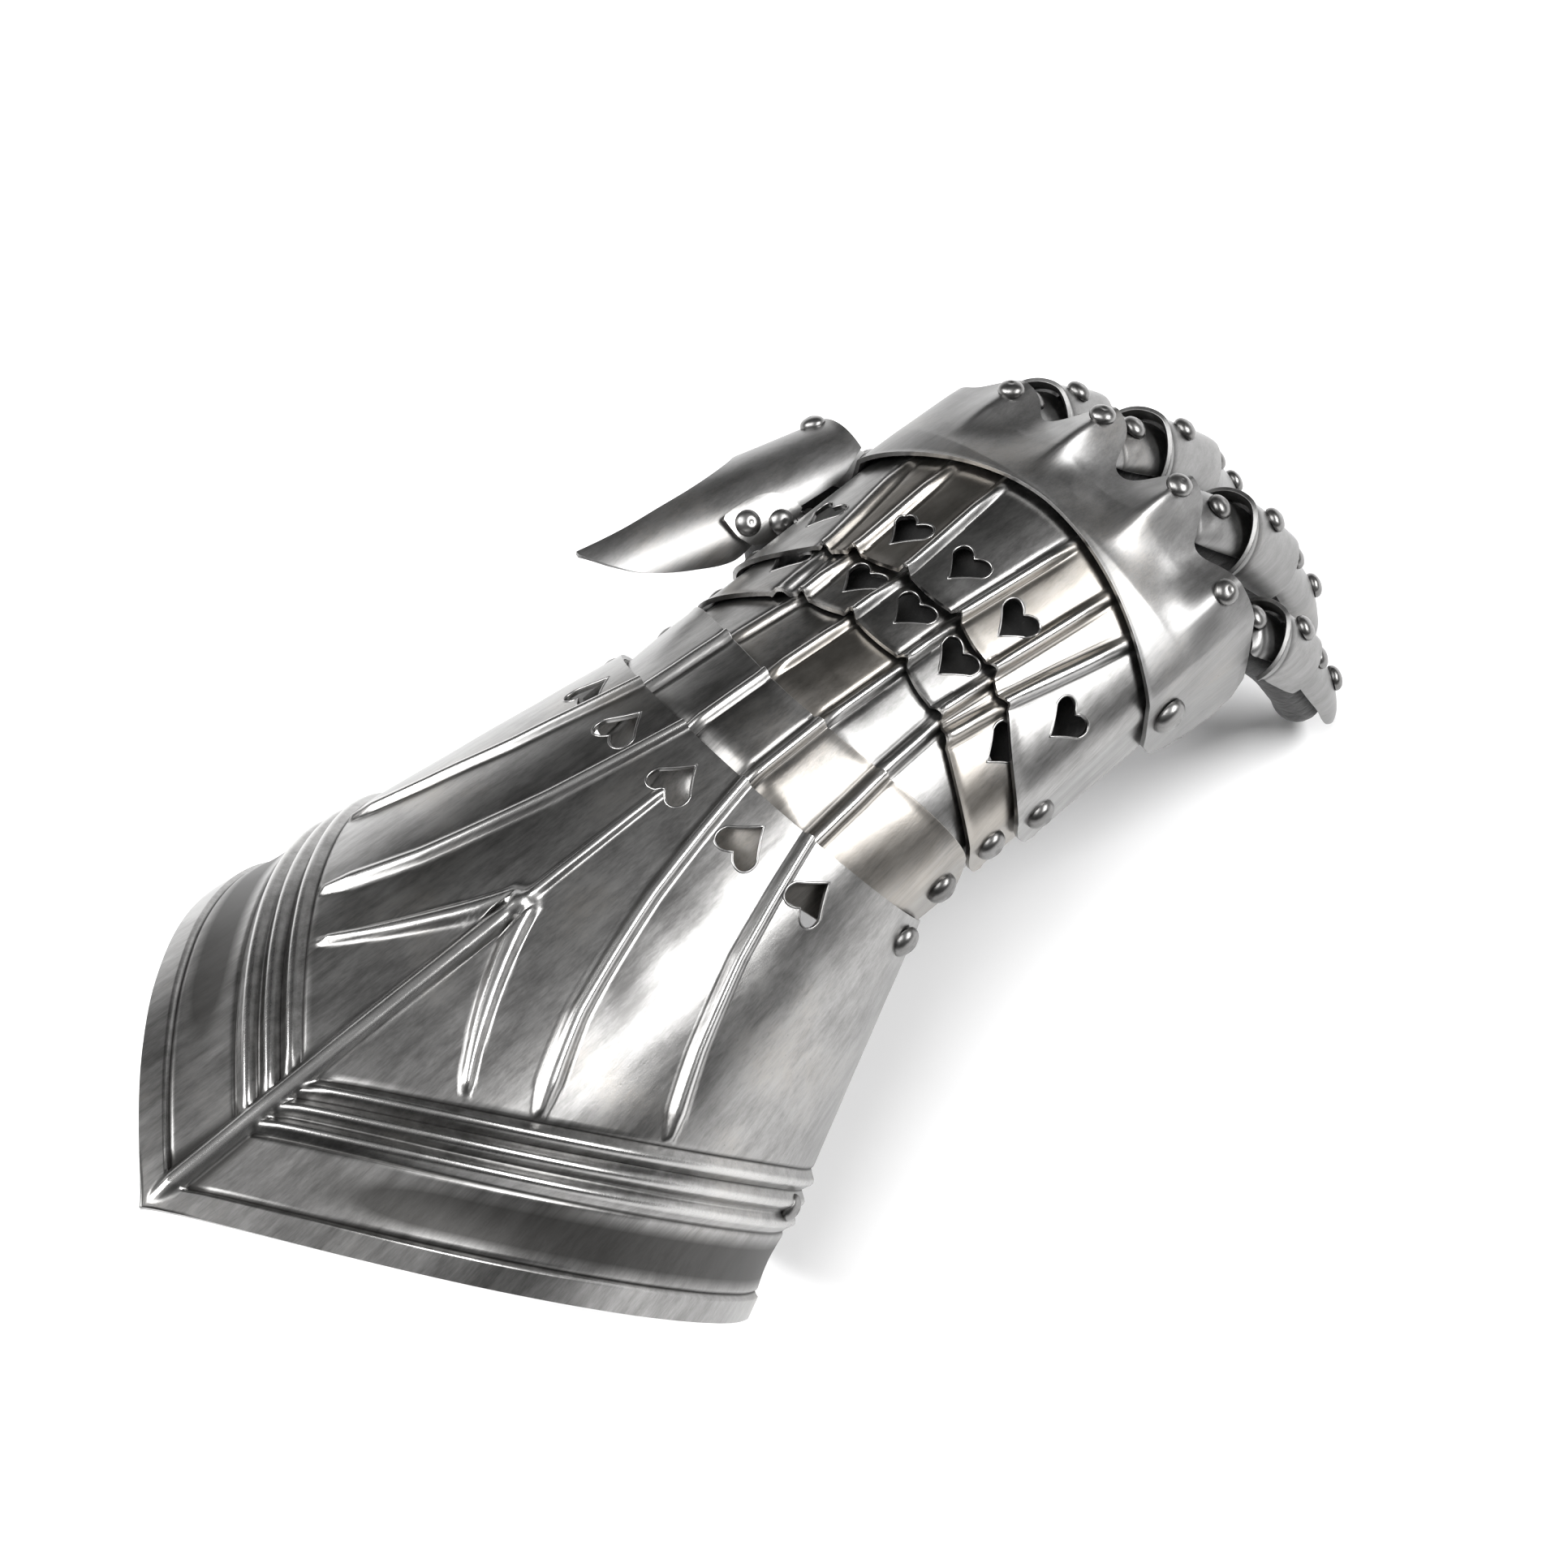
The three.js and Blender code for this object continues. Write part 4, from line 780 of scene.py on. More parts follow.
def makeLame(spec):
    rearPull, frontPull = spec["tabs"][1:]
    lengthwise = spaced([0, 0.04, 0.96, 1], 0.032)
    base, relief, tint = [], [], []
    shades = panelRandom.uniform(0, 1, 2 * len(spec["lines"]) + 3)
    for t in lengthwise:
        halfWidth = float(along(spec["half"], mix(spec["rear"](0.0), spec["front"](0.0), t)))
        crests = [mix(line[0], line[1], t) for line in spec["lines"]]
        across = lameColumns(crests, halfWidth)
        wall = np.linspace(0, 1, 13)[1:]
        across = np.concatenate([across, np.full(len(wall), halfWidth)])
        drop = np.concatenate([np.zeros(len(across) - len(wall)), wall])
        sign = np.concatenate([-np.ones(len(across) - 1), np.ones(len(across))])
        across = np.concatenate([across[:0:-1], across])
        drop = np.concatenate([drop[:0:-1], drop])
        eta = across / halfWidth
        turned = 1 - np.sqrt(1 - drop ** 2)
        rear = spec["rear"](eta) - spec["cusp"] * scallop(spec["cusps"], across) + rearPull * turned
        front = spec["front"](eta) - frontPull * turned
        x = mix(rear, front, t)
        y, z = lamePoint(spec, x, eta, drop)
        base.append(np.stack([x, sign * y, z], axis=-1))
        fade = along(spec["fade"], t)
        lift = sum(bead(across - crest, line[2] * fade, lameLines["width"], lameLines["groove"] * fade)
                   for line, crest in zip(spec["lines"], crests))
        if spec["lip"] is not None:  # the edge that shows is turned up a hair
            lift = lift + lameLines["lip"] * math.exp(-((t - spec["lip"]) / lameLines["lipLength"]) ** 2)
        relief.append(lift)
        panel = sum((sign * across > side * crest).astype(int) for crest in crests for side in (-1, 1))
        tint.append(shades[panel])
    obj = sheetObject(spec["name"], np.array(base), np.array(relief), handInside, tint=np.array(tint))

    def surface(x, eta):
        y, z = lamePoint(spec, x, abs(eta), 0)
        return np.array([x, math.copysign(float(y), eta), float(z[0])])

    hearts = [spot(surface, x, y / along(spec["half"], x), handInside) for x, y in spec["hearts"]]
    tip, size = (-1, 0, 0), lameLines["heartSize"]
    if hearts:
        heartRims(spec["name"] + "_heart_rims", obj, hearts, tip, size, spec["body"])
    cutAndSoften(obj, [heartCutter(point, normal, tip, size) for point, normal in hearts])
    finishPlate(obj, spec["body"], spec["node"], spec["steel"])
    if spec["pivot"]:
        rivetsObject(spec["name"] + "_rivets", pivotPair(*spec["pivot"], 3.6, 0.14), spec["body"])


for spec in lames:
    makeLame(spec)
print("lames made")

knuckles = {"index": (84.4, 32.3, 20.2), "middle": (91.0, 9.3, 26.2), "ring": (89.4, -16.7, 25.6),
            "little": (80.6, -41.0, 13.6)}
# tables are (x, value), or (drop, x) for the side lobes: the long one is on the little finger's side
knucklePlate = {"fall": [(45, 30.4), (62, 29.6), (76, 25.6), (88, 21), (100, 17)],
                "half": [(45, 49.3), (60, 49.3), (80, 48.6), (95, 47.2)],
                "flare": [(62, 0), (80, 2.4), (90, 3.4)], "peakWidth": 5.8, "wall": 6.2,
                "longDrop": 20.0, "longRear": [(0, 47.4), (6, 47.6), (12, 50.5), (17, 57), (20, 64)],
                "longFront": [(0, 82), (6, 82.5), (12, 83), (17, 80), (20, 74)],
                "shortDrop": 9.0, "shortRear": [(0, 47.4), (5.5, 49.5), (9, 54)],
                "shortFront": [(0, 82), (5.5, 76), (9, 68)],
                "riseFrom": 62, "hollows": [(84, 20.8), (84, -3.7), (80, -29)], "hollowDepth": 1.1,
                "hollowWidth": 6.0, "side": 47.8, "lip": 0.15, "pivot": (55.0, 49.3)}
knuckleInside = (70, 0, -5)


def knuckleTop(x, y):
    half = along(knucklePlate["half"], x)
    z = mix(knucklePlate["wall"], along(knucklePlate["fall"], x), dome(y / half))
    for kx, ky, kz in knuckles.values():
        rise = smooth(x, knucklePlate["riseFrom"], kx - 2)
        across = np.exp(-np.abs((y - ky) / mix(3.6, knucklePlate["peakWidth"], rise)) ** 1.6)
        flat = mix(knucklePlate["wall"], float(along(knucklePlate["fall"], kx)), float(dome(ky / 48.2)))
        z = z + max(kz - flat, 3) * rise * across
    # the sheet sinks between one knuckle and the next
    for hx, hy in knucklePlate["hollows"]:
        across = np.exp(-((y - hy) / knucklePlate["hollowWidth"]) ** 2)
        z = z - knucklePlate["hollowDepth"] * smooth(x, 60, hx - 6) * across
    return z


def knuckleFront(y):
    # the front edge bows forward over each knuckle
    return 84 + sum((k[0] - 78.5) * np.exp(-((y - k[1]) / 8.5) ** 4) for k in knuckles.values())


def makeKnucklePlate():
    across = spaced([-knucklePlate["side"], knucklePlate["side"]], 0.75)
    longWall = spaced([0, knucklePlate["longDrop"]], 1.0)[:0:-1]
    shortWall = spaced([0, knucklePlate["shortDrop"]], 1.0)[1:]
    base, relief = [], []
    for t in spaced([0, 0.03, 0.97, 1], 0.0125):
        rear = 61.5 - 14 * (np.abs(across) / 49) ** 2
        x = mix(rear, knuckleFront(across), t)
        top = np.stack([x, across, knuckleTop(x, across)], axis=-1)
        walls = []
        for side, drops, rearLine, frontLine in ((-1, longWall, "longRear", "longFront"),
                                                 (1, shortWall, "shortRear", "shortFront")):
            wx = mix(along(knucklePlate[rearLine], drops), along(knucklePlate[frontLine], drops), t)
            flare = along(knucklePlate["flare"], wx) if side < 0 else 0
            walls.append(np.stack([wx, side * (along(knucklePlate["half"], wx) + flare), -drops], axis=-1))
        base.append(np.concatenate([walls[0], top, walls[1]]))
        # the rear edge is turned up a hair
        relief.append(np.full(len(base[-1]), knucklePlate["lip"] * math.exp(-(t / 0.02) ** 2)))
    obj = sheetObject("knuckle_cap", np.array(base), np.array(relief), knuckleInside)
    cutAndSoften(obj)
    finishPlate(obj, "hand", "knuckle_plate", satinSteel)

    def surface(x, y):
        return np.array([x, y, float(knuckleTop(x, y))])

    rivets = []
    for kx, ky, kz in knuckles.values():
        point, normal = spot(surface, kx, ky, knuckleInside, db=1)
        rivets.append({"point": point, "normal": normal, "dimple": 0.08})
    rivets += pivotPair(*knucklePlate["pivot"], 3.8, 0.2, head="big")
    rivetsObject("knuckle_rivets", rivets, "hand")


makeKnucklePlate()
print("knuckle plate made")

# bones: (length, slope downwards in degrees) from the knuckle to the fingertip
fingers = {
    "index": {"yaw": -7, "radius": 11.0, "start": 7,
              "bones": [(14, 40), (13, 36), (17, 42), (24, 60), (21.5, 72)]},
    "middle": {"yaw": -17, "radius": 11.4, "start": 5,
               "bones": [(16, 36), (14, 40), (19, 46), (22, 60), (21, 72)]},
    "ring": {"yaw": -28, "radius": 11.0, "start": 6,
             "bones": [(19, 38), (15, 42), (17, 55), (23, 62), (20, 73)]},
    "little": {"yaw": -31, "radius": 9.8, "start": 14,
               "bones": [(16, 38), (12, 42), (12, 54), (19, 61), (17, 73)]},
}


def chainPoint(chain, s):
    x, z, left = 0.0, 0.0, s
    for i, (length, pitch) in enumerate(chain):
        step = left if i == len(chain) - 1 else min(left, length)
        x += step * math.cos(math.radians(pitch))
        z -= step * math.sin(math.radians(pitch))
        left -= step
        if left <= 0:
            break
    return np.array([x, z]), pitch


def chainFrame(chain, s):
    # place, forward and upward directions along the finger, eased over the bends
    ease = 3
    near = [chainPoint(chain, max(s + d, 0))[0] for d in (-ease, -ease / 2, 0, ease / 2, ease)]
    here = sum(near) / len(near) if s > ease else near[2]
    forward = near[-1] - near[0]
    forward /= np.linalg.norm(forward)
    up = np.array([-forward[1], forward[0]])
    return here, forward, up


def placed(points, origin, yaw, pitch=0, roll=0):
    matrix = turn("Z", yaw) @ turn("Y", pitch) @ turn("X", roll)
    return np.asarray(points) @ matrix.T + np.array(origin)


def easedTable(xs, ys, x):
    # cubic through the table's points, without overshoot
    slopes = np.diff(ys) / np.diff(xs)
    i = int(np.clip(np.searchsorted(xs, x) - 1, 0, len(xs) - 2))

    def slopeAt(k):
        if k == 0 or k == len(xs) - 1:
            return slopes[min(k, len(slopes) - 1)]
        a, b = slopes[k - 1], slopes[k]
        return 0.0 if a * b <= 0 else 2 * a * b / (a + b)

    h = xs[i + 1] - xs[i]
    t = (x - xs[i]) / h
    return ((1 + 2 * t) * (1 - t) ** 2 * ys[i] + t * (1 - t) ** 2 * h * slopeAt(i)
            + t * t * (3 - 2 * t) * ys[i + 1] + t * t * (t - 1) * h * slopeAt(i + 1))


fingerSheet = {"columns": 49, "gap": 0.8, "edge": 1.2, "peakWidth": 0.26, "line": 0.22, "lineAt": 3.6,
               "lineWidth": 0.55, "flareLength": 1.6, "core": 12, "wave": 0.03}


def tubeSheet(chain, stations, peak, placing, name, flare=0.0):
    # part of a tube round the back of a finger; stations are (s, radius, wrap in degrees, lift)
    look, columns = fingerSheet, fingerSheet["columns"]
    table = np.array(stations, float)
    start, end = stations[0][0], stations[-1][0]
    turns = np.linspace(-1, 1, columns)
    base, relief = [], []
    for s in spaced([start, start + look["edge"], end - look["edge"], end], look["gap"]):
        radius, wrap, lift = (easedTable(table[:, 0], table[:, k], s) for k in (1, 2, 3))
        here, forward, up = chainFrame(chain, s)
        angle = np.radians(wrap) * turns
        crown = peak * np.exp(-np.abs(turns / look["peakWidth"]) ** 1.6)
        out = radius * (np.cos(angle) - 1) + crown + lift * np.cos(angle)
        base.append(np.stack([here[0] + out * up[0], radius * np.sin(angle), here[1] + out * up[1]], axis=-1))
        # a flared rear edge, with one incised line after it
        lead = s - start
        line = look["line"] * math.exp(-((lead - look["lineAt"]) / look["lineWidth"]) ** 2) * (flare > 0)
        relief.append(np.full(columns, flare * math.exp(-(lead / look["flareLength"]) ** 2) - line))
    base = placed(np.array(base).reshape(-1, 3), **placing).reshape(len(base), columns, 3)
    here, forward, up = chainFrame(chain, (start + end) / 2)
    core = here - up * look["core"]
    inside = placed([[core[0], 0, core[1]]], **placing)[0]
    return sheetObject(name, base, np.array(relief), inside, wave=look["wave"])


def chainRivet(chain, s, out, placing):
    here, pitch = chainPoint(chain, s)
    up = np.array([math.sin(math.radians(pitch)), math.cos(math.radians(pitch))])
    seat = here + up * out
    point, tip = placed([[x, 0, z] for x, z in (seat, seat + up)], **placing)
    return {"point": point, "normal": tip - point, "dimple": 0.06}


def makeFinger(name, finger):
    chain, r, start = finger["bones"], finger["radius"], finger["start"]
    first, second, third, fourth, end = np.cumsum([length for length, pitch in chain])
    placing = {"origin": knuckles[name], "yaw": finger["yaw"]}
    barrel = mix(first, second, 0.45)
    # name, node's number, stations, peak along the top, flare of the rear edge, rivets as (s, height)
    plates = [
        ("root", 1, [(start, r - 2.2, 74, -4.6), (mix(start, first, 0.5), r - 1.9, 80, -3.5),
                     (first, r - 1.8, 82, -2.6), (second, r - 2.1, 80, -2.8)], 0, 0.15,
         [(first - 1.5, -2.5)]),
        ("middle", 2, [(barrel, r + 0.6, 96, 1.3), (barrel + 2.2, r, 100, 0),
                       (second + 2, r - 0.1, 104, -0.2), (third - 3, r - 0.3, 100, 0),
                       (third + 1, r - 0.2, 92, 0.2)], 0.9, 0.5,
         [(second + 3, 0.7)]),
        ("tip", 3, [(third - 5, r - 2.4, 88, -2.1), (third + 3, r - 2.3, 98, -1.9),
                    (fourth - 4, r - 2.4, 100, -1.7), (fourth + 5, r - 2.8, 98, -1.6),
                    (end - 5, r - 3.4, 93, -1.9), (end - 2, r - 4.4, 82, -2.6),
                    (end - 0.6, r - 5.4, 62, -3.3), (end, r - 6.2, 40, -3.9)], 0, 0.1,
         [(third + 7, -1.8), (fourth + 2, -1.6)]),
    ]
    rivets = []
    for part, number, stations, peak, flare, studs in plates:
        obj = tubeSheet(chain, stations, peak, placing, f"{name}_{part}_plate", flare)
        cutAndSoften(obj)
        finishPlate(obj, "hand", f"{name}_lame_{number}", satinSteel)
        rivets += [chainRivet(chain, s, out, placing) for s, out in studs]
    rivetsObject(f"{name}_rivets", rivets, "hand")


for name, finger in fingers.items():
    makeFinger(name, finger)
print("fingers made")

horn = {"origin": (40, 61.5, 3.5), "yaw": -10, "pitch": 8}
hornRadius = 15.5
hornLip = {"height": 0.25, "rows": 1.4}
# x, then the angles of the plate's two edges in degrees
hornEdges = np.array([(-62, -2, 2), (-56, -24, 3), (-49, -41, 5), (-37, -56, 12), (-26, -64, 20),
                      (-14, -47, 36), (-2, -40, 76), (8, -34, 96), (18, -14, 88)], float)
thumb = {"origin": (44, 71, -1.5), "yaw": -17, "pitch": 20, "roll": -38}
thumbChain = [(12, 0), (20, 12), (34, 26)]


def hornPoint(x, angle, out=0.0):
    t = np.radians(angle)
    r = hornRadius + out
    return np.stack([x + 0 * t, r * np.sin(t), r * np.cos(t) - hornRadius], axis=-1)


def hornSheet(name, rows, out, relief):
    # rows are lists of (x, angle) that share a length
    base = np.array([hornPoint(row[:, 0], row[:, 1], out) for row in rows])
    base = placed(base.reshape(-1, 3), **horn).reshape(base.shape)
    inside = placed([[-10, 0, -hornRadius]], **horn)[0]
    return sheetObject(name, base, relief, inside, wave=0.04)


def hornRivet(x, angle, out):
    point, tip = placed([hornPoint(x, angle, out), hornPoint(x, angle, out + 1)], **horn)
    return {"point": point, "normal": tip - point, "dimple": 0.1}


def makeHornPlate():
    rows, columns = [], 41
    for x in spaced([-62, -60.5, 16.8, 18], 0.9):
        near, far = (easedTable(hornEdges[:, 0], hornEdges[:, k], x) for k in (1, 2))
        rows.append(np.stack([np.full(columns, x), np.linspace(near, far, columns)], axis=-1))
    fromEnd = np.arange(len(rows)) - len(rows) + 1
    lip = hornLip["height"] * np.exp(-(fromEnd / hornLip["rows"]) ** 2)
    plate = hornSheet("thumb_root_plate", rows, 0.0, np.tile(lip[:, None], columns))
    cutAndSoften(plate)
    finishPlate(plate, "hand", "thumb_plate", satinSteel)


# leaf-shaped strap: it runs over the horn from one (x, angle) to the other, and stands off by the lift
strap = {"from": (-7, -50), "to": (-25, -24), "lift": sheetThickness + 0.65, "scale": 0.7, "columns": 17,
         "widths": [(0, 3.2), (0.2, 5.4), (0.45, 6.6), (0.7, 5.2), (0.9, 2.4), (1, 0.6)],
         "barrelAt": (-6, -53),
         "barrel": [(-4.3, 0), (-4.3, 1.2), (-4.0, 1.5), (-4.0, 2.1), (-1.5, 2.1), (-1.4, 1.8), (-1.2, 1.8),
                    (-1.1, 2.1), (1.1, 2.1), (1.2, 1.8), (1.4, 1.8), (1.5, 2.1), (4.0, 2.1), (4.0, 1.5),
                    (4.3, 1.2), (4.3, 0)], "barrelSides": 28}


def makeStrap():
    widths = np.array(strap["widths"])
    leaf = []
    for t in spaced([0, 1], 0.03):
        width = strap["scale"] * easedTable(widths[:, 0], widths[:, 1], t)
        across = np.linspace(-width, width, strap["columns"])
        x, angle = (mix(a, b, t) for a, b in zip(strap["from"], strap["to"]))
        leaf.append(np.stack([x + across, angle + np.degrees(across / hornRadius)], axis=-1))
    obj = hornSheet("thumb_strap", leaf, strap["lift"], np.zeros((len(leaf), strap["columns"])))
    cutAndSoften(obj)
    finishPlate(obj, "hand", "thumb_hinge", crossSteel)


def makeBarrel():
    # three rolled knuckles on a pin
    centre = hornPoint(*strap["barrelAt"], strap["lift"] - 1.5)
    profile, sides = strap["barrel"], strap["barrelSides"]
    vertices, faces = [], []
    for x, r in profile:
        for k in range(sides):
            t = 2 * math.pi * k / sides
            vertices.append(centre + np.array([x, r * math.cos(t), r * math.sin(t)]))
    for i in range(len(profile) - 1):
        for k in range(sides):
            n = (k + 1) % sides
            faces.append([i * sides + k, i * sides + n, (i + 1) * sides + n, (i + 1) * sides + k])
    barrel = addObject("thumb_strap_barrel", placed(np.array(vertices), **horn), faces)
    barrel.data.materials.append(rivetSteel)
    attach(barrel, "hand")


def makeThumb():
    makeHornPlate()
    makeStrap()
    lift = strap["lift"]
    rivets = [hornRivet(14, 45, -0.05), hornRivet(-20, -36, lift), hornRivet(-11.5, -46, lift)]
    makeBarrel()
    plates = [
        ("thumb_middle_plate", "thumb_lame",
         [(7, 13.2, 70, -2.4), (15, 13.2, 80, -2.2), (25, 12.8, 84, -2.0)],
         [(19, -2.2)]),
        ("thumb_tip_plate", "thumb_tip",
         [(18, 10.5, 74, -4.4), (28, 10.9, 92, -3.6), (42, 10.8, 100, -3.3), (53, 9.4, 96, -4.4),
          (60, 6.8, 84, -6.4), (62.4, 5.0, 66, -7.8), (63.5, 4.2, 44, -8.6)],
         [(30, -3.6), (47, -3.8)]),
    ]
    for name, node, stations, studs in plates:
        obj = tubeSheet(thumbChain, stations, 0, thumb, name)
        cutAndSoften(obj)
        finishPlate(obj, "hand", node, satinSteel)
        rivets += [chainRivet(thumbChain, s, out, thumb) for s, out in studs]
    rivetsObject("thumb_rivets", rivets, "hand")


makeThumb()
print("thumb made")

# half width, height above and depth below the middle of the palm, as (x, mm)
glove = {"half": [(3, 36), (32, 38.5), (62, 42), (80, 39)],
         "top": [(3, 19), (32, 20.5), (45, 24), (62, 23), (80, 17)],
         "bottom": [(3, 24), (32, 28), (62, 27), (80, 21)], "voxel": 1.1, "mouth": 4.4, "easing": 6,
         "slack": 2.9, "fingerDepth": 4.4, "rootDepth": 2.4, "palmSides": 64, "fingerSides": 28, "sharp": 60}


def closedLoft(name, rings):
    count = len(rings[0])
    ends = [np.mean(rings[0], axis=0), np.mean(rings[-1], axis=0)]
    vertices = np.concatenate([np.array(rings).reshape(-1, 3), ends])
    faces = []
    for i in range(len(rings) - 1):
        for j in range(count):
            k = (j + 1) % count
            faces.append([i * count + j, i * count + k, (i + 1) * count + k, (i + 1) * count + j])
    last = (len(rings) - 1) * count
    for j in range(count):
        k = (j + 1) % count
        faces.append([len(vertices) - 2, k, j])
        faces.append([len(vertices) - 1, last + j, last + k])
    return addObject(name, vertices, faces)


def ringRound(centre, forward, up, radius, flat=1.0):
    across = np.cross(up, forward)
    across /= np.linalg.norm(across)
    t = np.linspace(0, 2 * math.pi, glove["fingerSides"], endpoint=False)[:, None]
    return centre - across * radius * np.sin(t) + up * radius * flat * np.cos(t)


def palmLoft():
    rings = []
    t = np.linspace(0, 2 * math.pi, glove["palmSides"], endpoint=False)
    s, c = np.sin(t), np.cos(t)
    for x in spaced([3, 80], 4):
        half, top, bottom = (float(along(glove[key], x)) for key in ("half", "top", "bottom"))
        y = -half * np.sign(s) * np.abs(s) ** 0.85
        z = np.where(c > 0, top * np.abs(c) ** 1.2, -bottom * np.abs(c) ** 0.8)
        rings.append(np.stack([np.full(len(t), x), y, z], axis=-1))
    return closedLoft("palm", rings)


def fingerLoft(name, finger):
    chain = finger["bones"]
    total = sum(length for length, pitch in chain)
    tube = finger["radius"] - glove["slack"]
    rings = []
    for s in spaced([6, total - 12, total - 7], 2.0):
        here, forward, up = chainFrame(chain, s)
        close = max(s - (total - 12), 0) / 5  # the tip rounds off over its last millimetres
        depth = tube + glove["fingerDepth"] + glove["rootDepth"] * min(max(1 - (s - 8) / 6, 0), 1)
        centre, forward, up = (np.array([v[0], 0, v[1]]) for v in (here - up * depth, forward, up))
        radius = tube * math.sqrt(max(1 - 0.62 * close ** 2, 0.05))
        rings.append(ringRound(centre, forward, up, radius, 0.95))
    # one more ring at the root, sunk into the palm
    first = rings[0].mean(axis=0)
    rings.insert(0, rings[0] - np.array([first[0] + 10, 0, first[2] + tube + 8]))
    points = placed(np.array(rings).reshape(-1, 3), knuckles[name], finger["yaw"])
    return closedLoft(name + "_leather", points.reshape(len(rings), -1, 3))


# the leather thumb: its ball in the palm as (place, radius), then (s, depth under the plates, radius)
thumbLeather = {"ball": [((14, 26, -18), 10.4), ((25, 43, -25.4), 10.6)],
                "tube": [(3, 16.6, 10.2), (12, 15.6, 10), (26, 14.8, 8.8), (44, 14.2, 8.6), (52, 14.3, 7.8),
                         (56, 14.4, 6.2)]}


def thumbLoft():
    path = [place for place, radius in thumbLeather["ball"]]
    radii = [radius for place, radius in thumbLeather["ball"]]
    for s, depth, radius in thumbLeather["tube"]:
        here, pitch = chainPoint(thumbChain, s)
        tilt = math.radians(pitch)
        below = [here[0] - depth * math.sin(tilt), 0, here[1] - depth * math.cos(tilt)]
        path.append(placed([below], **thumb)[0])
        radii.append(radius)
    path, radii = np.array(path, float), np.array(radii)
    steps = np.concatenate([[0], np.cumsum(np.linalg.norm(np.diff(path, axis=0), axis=1))])

    def at(v):
        return np.array([easedTable(steps, path[:, k], min(max(v, 0), steps[-1])) for k in range(3)])

    rings = []
    for s in spaced([0, steps[-1]], 2.5):
        forward = at(s + 2) - at(s - 2)
        forward /= np.linalg.norm(forward)
        up = np.array([0, 0, 1.0]) - forward * forward[2]
        up /= np.linalg.norm(up)
        rings.append(ringRound(at(s), forward, up, easedTable(steps, radii, s)))
    return closedLoft("thumb_leather", rings)


def openWrist(obj):
    # the cap at the wrist goes, leaving the glove's mouth
    flat = np.empty(len(obj.data.vertices) * 3)
    obj.data.vertices.foreach_get("co", flat)
    depth = toHand(flat.reshape(-1, 3))[:, 0]
    work = bmesh.new()
    work.from_mesh(obj.data)
    work.verts.ensure_lookup_table()
    gone = [work.verts[i] for i in np.nonzero(depth < glove["mouth"])[0]]
    bmesh.ops.delete(work, geom=gone, context="VERTS")
    work.to_mesh(obj.data)
    work.free()


def makeGlove():
    parts = [palmLoft(), thumbLoft()] + [fingerLoft(name, finger) for name, finger in fingers.items()]
    leatherGlove = parts[0]
    bpy.ops.object.select_all(action="DESELECT")
    for part in parts:
        part.select_set(True)
    bpy.context.view_layer.objects.active = leatherGlove
    bpy.ops.object.join()
    leatherGlove.name = "glove_leather"
    fused = leatherGlove.modifiers.new("fused", "REMESH")
    fused.mode = "VOXEL"
    fused.voxel_size = glove["voxel"] * 1 * millimetre
    fused.use_smooth_shade = True
    eased = leatherGlove.modifiers.new("eased", "SMOOTH")
    eased.factor = 0.5
    eased.iterations = glove["easing"]
    settle(leatherGlove)
    openWrist(leatherGlove)
    wall = leatherGlove.modifiers.new("wall", "SOLIDIFY")
    wall.thickness = leatherWall * millimetre
    wall.offset = -1
    settle(leatherGlove)
    mesh = leatherGlove.data
    mesh.polygons.foreach_set("use_smooth", [True] * len(mesh.polygons))
    mesh.set_sharp_from_angle(angle=math.radians(glove["sharp"]))
    mesh.materials.clear()
    mesh.materials.append(suede)
    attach(leatherGlove, "hand")
    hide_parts("glove")


makeGlove()
print("glove made")

scene = bpy.context.scene
floorLook = {"size": 40.0, "low": (0.93, 0.93, 0.935, 1), "high": (0.97, 0.97, 0.97, 1), "rough": 0.9}


def makeFloor():
    size = floorLook["size"]
    mesh = bpy.data.meshes.new("floor")
    corners = [(-size, -size, 0), (size, -size, 0), (size, size, 0), (-size, size, 0)]
    mesh.from_pydata(corners, [], [(0, 1, 2, 3)])
    floor = bpy.data.objects.new("floor", mesh)
    scene.collection.objects.link(floor)
    paint = Paint(bpy.data.materials.new("floor_white"))
    place = paint.place()
    colour = paint.blend(paint.noise(place, 3.0, 2.0, 0.5), floorLook["low"], floorLook["high"])
    floor.data.materials.append(paint.finish({"Base Color": colour, "Roughness": floorLook["rough"]}))


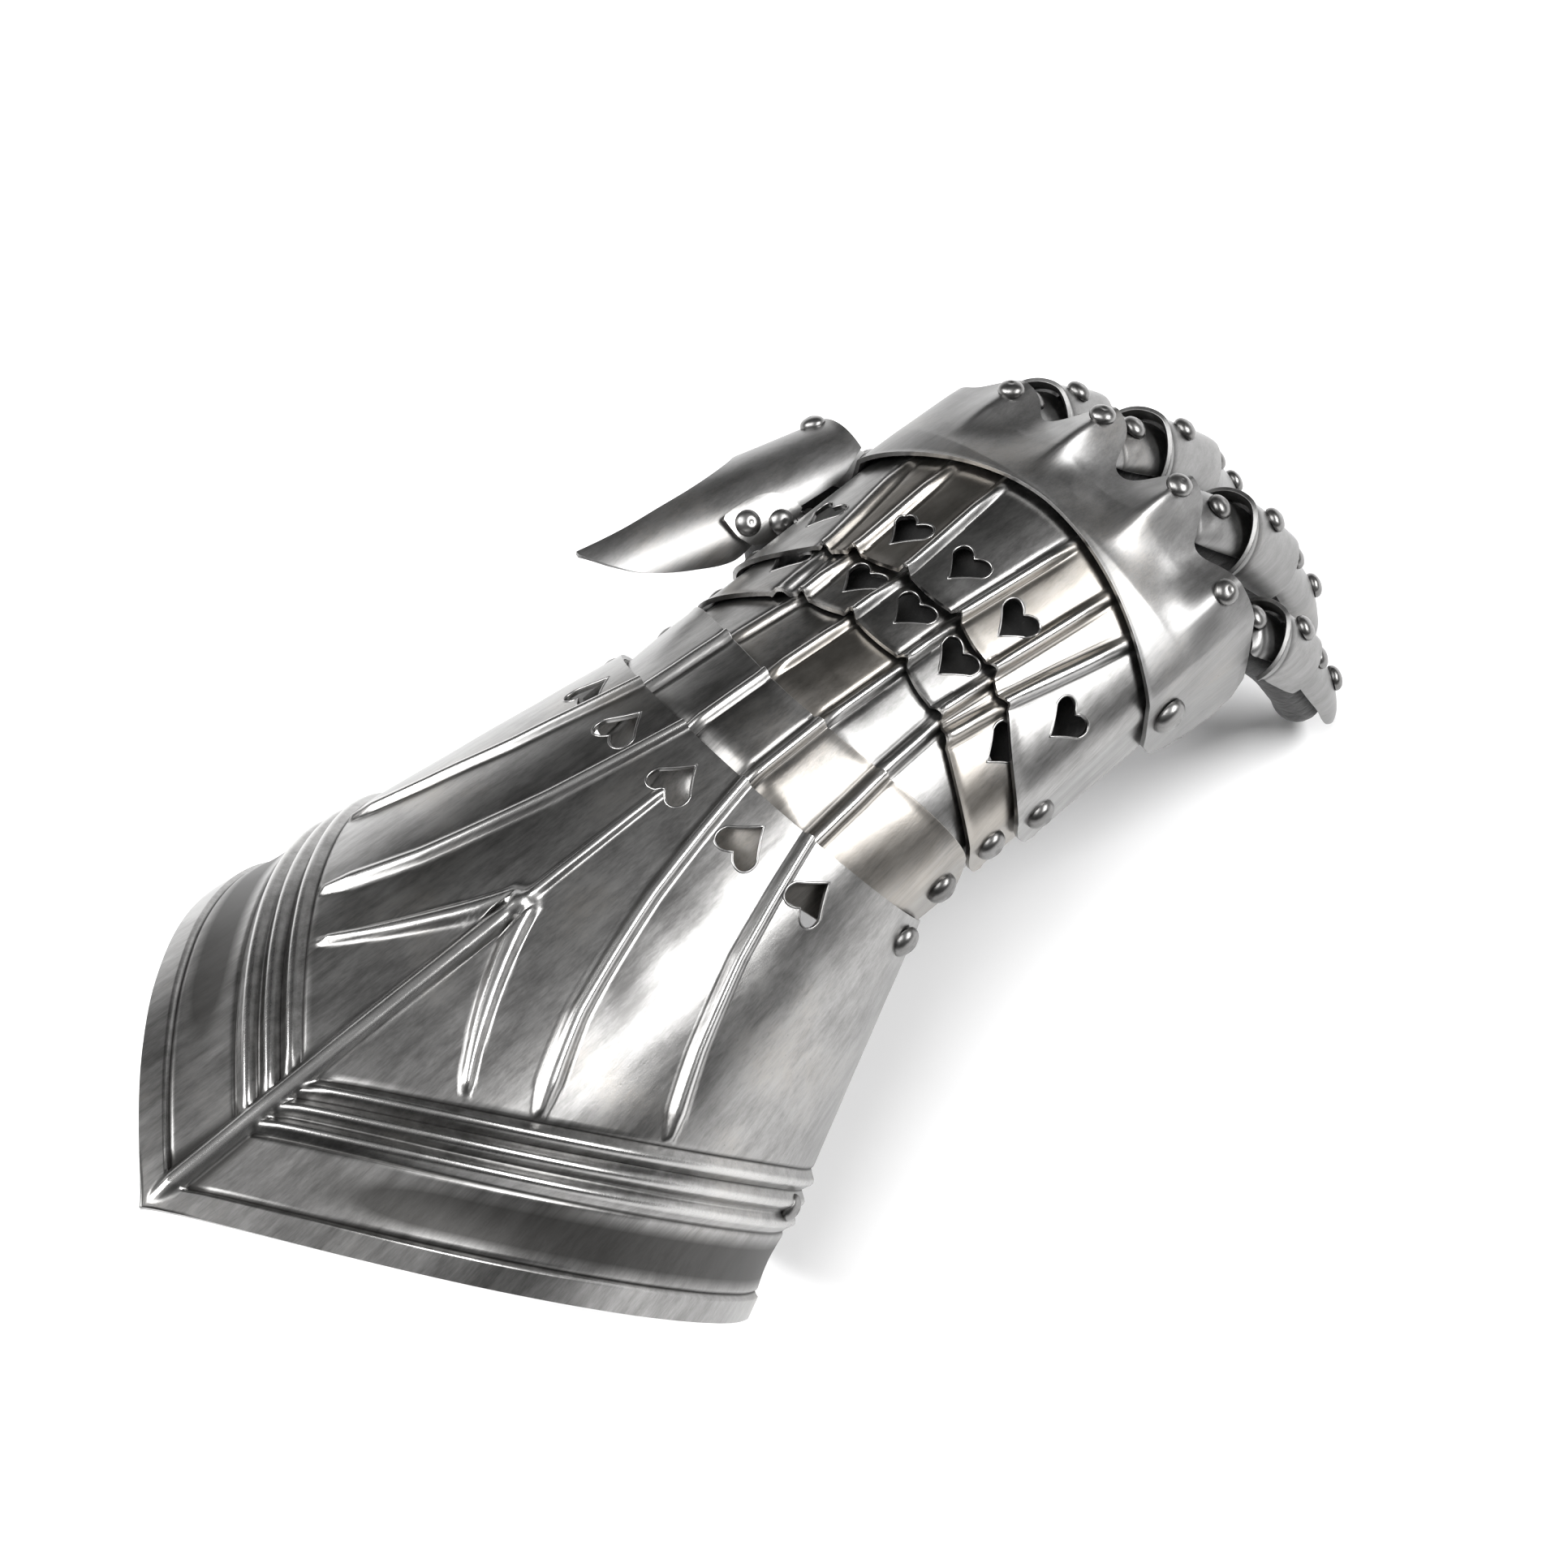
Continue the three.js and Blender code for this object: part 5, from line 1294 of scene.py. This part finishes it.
# light of the room from straight below (0) to straight above (1)
studio = {"levels": [(0.0, 0.7), (0.50, 0.85), (0.515, 0.6), (0.57, 0.05), (0.74, 0.06), (0.88, 0.26),
                     (1.0, 0.36)],
          "strength": 0.9}


def makeWorld():
    paint = Paint(bpy.data.worlds.new("studio"))
    direction = paint.node("ShaderNodeTexCoord", {}, {}, output=0)
    height = paint.node("ShaderNodeSeparateXYZ", {}, {"Vector": direction}, output=2)
    glow = paint.node("ShaderNodeValToRGB", {"stops": [
        (place, grey(level)) for place, level in studio["levels"]]}, {"Fac": height * 0.5 + 0.5})
    light = paint.node("ShaderNodeBackground", {}, {"Color": glow, "Strength": studio["strength"]})
    scene.world = paint.surface(light, "ShaderNodeOutputWorld")


lamps = [
    {"name": "key", "kind": "AREA", "from": (-0.55, 0.75, 0.95), "to": (0, 0, 0.05), "size": (0.8, 0.35),
     "power": 13},
    {"name": "side", "kind": "AREA", "from": (0.7, -0.55, 0.75), "to": (0.02, 0, 0.05), "size": (0.7, 0.3),
     "power": 13},
    {"name": "room", "kind": "SUN", "from": (-0.35, 0.25, 1.4), "to": (0, 0, 0), "angle": 40, "power": 2.3},
]


def makeLamps():
    for lamp in lamps:
        data = bpy.data.lights.new(lamp["name"], lamp["kind"])
        data.energy = lamp["power"]
        if lamp["kind"] == "AREA":
            data.shape = "RECTANGLE"
            data.size, data.size_y = lamp["size"]
        else:
            data.angle = math.radians(lamp["angle"])
        obj = bpy.data.objects.new(lamp["name"], data)
        obj.location = lamp["from"]
        aim = Vector(lamp["to"]) - Vector(lamp["from"])
        obj.rotation_euler = aim.to_track_quat("-Z", "Y").to_euler()
        scene.collection.objects.link(obj)


view = {"lens": 58.8, "sensor": 36, "place": (-0.1117, -0.2037, 0.6162), "turn": (22.635, 5.994, -43.892)}


def makeCamera():
    data = bpy.data.cameras.new("camera")
    data.lens = view["lens"]
    data.sensor_width = view["sensor"]
    camera = bpy.data.objects.new("camera", data)
    camera.location = view["place"]
    camera.rotation_euler = [math.radians(v) for v in view["turn"]]
    scene.collection.objects.link(camera)
    scene.camera = camera


makeFloor()
makeWorld()
makeLamps()
makeCamera()
scene.view_settings.view_transform = "Standard"
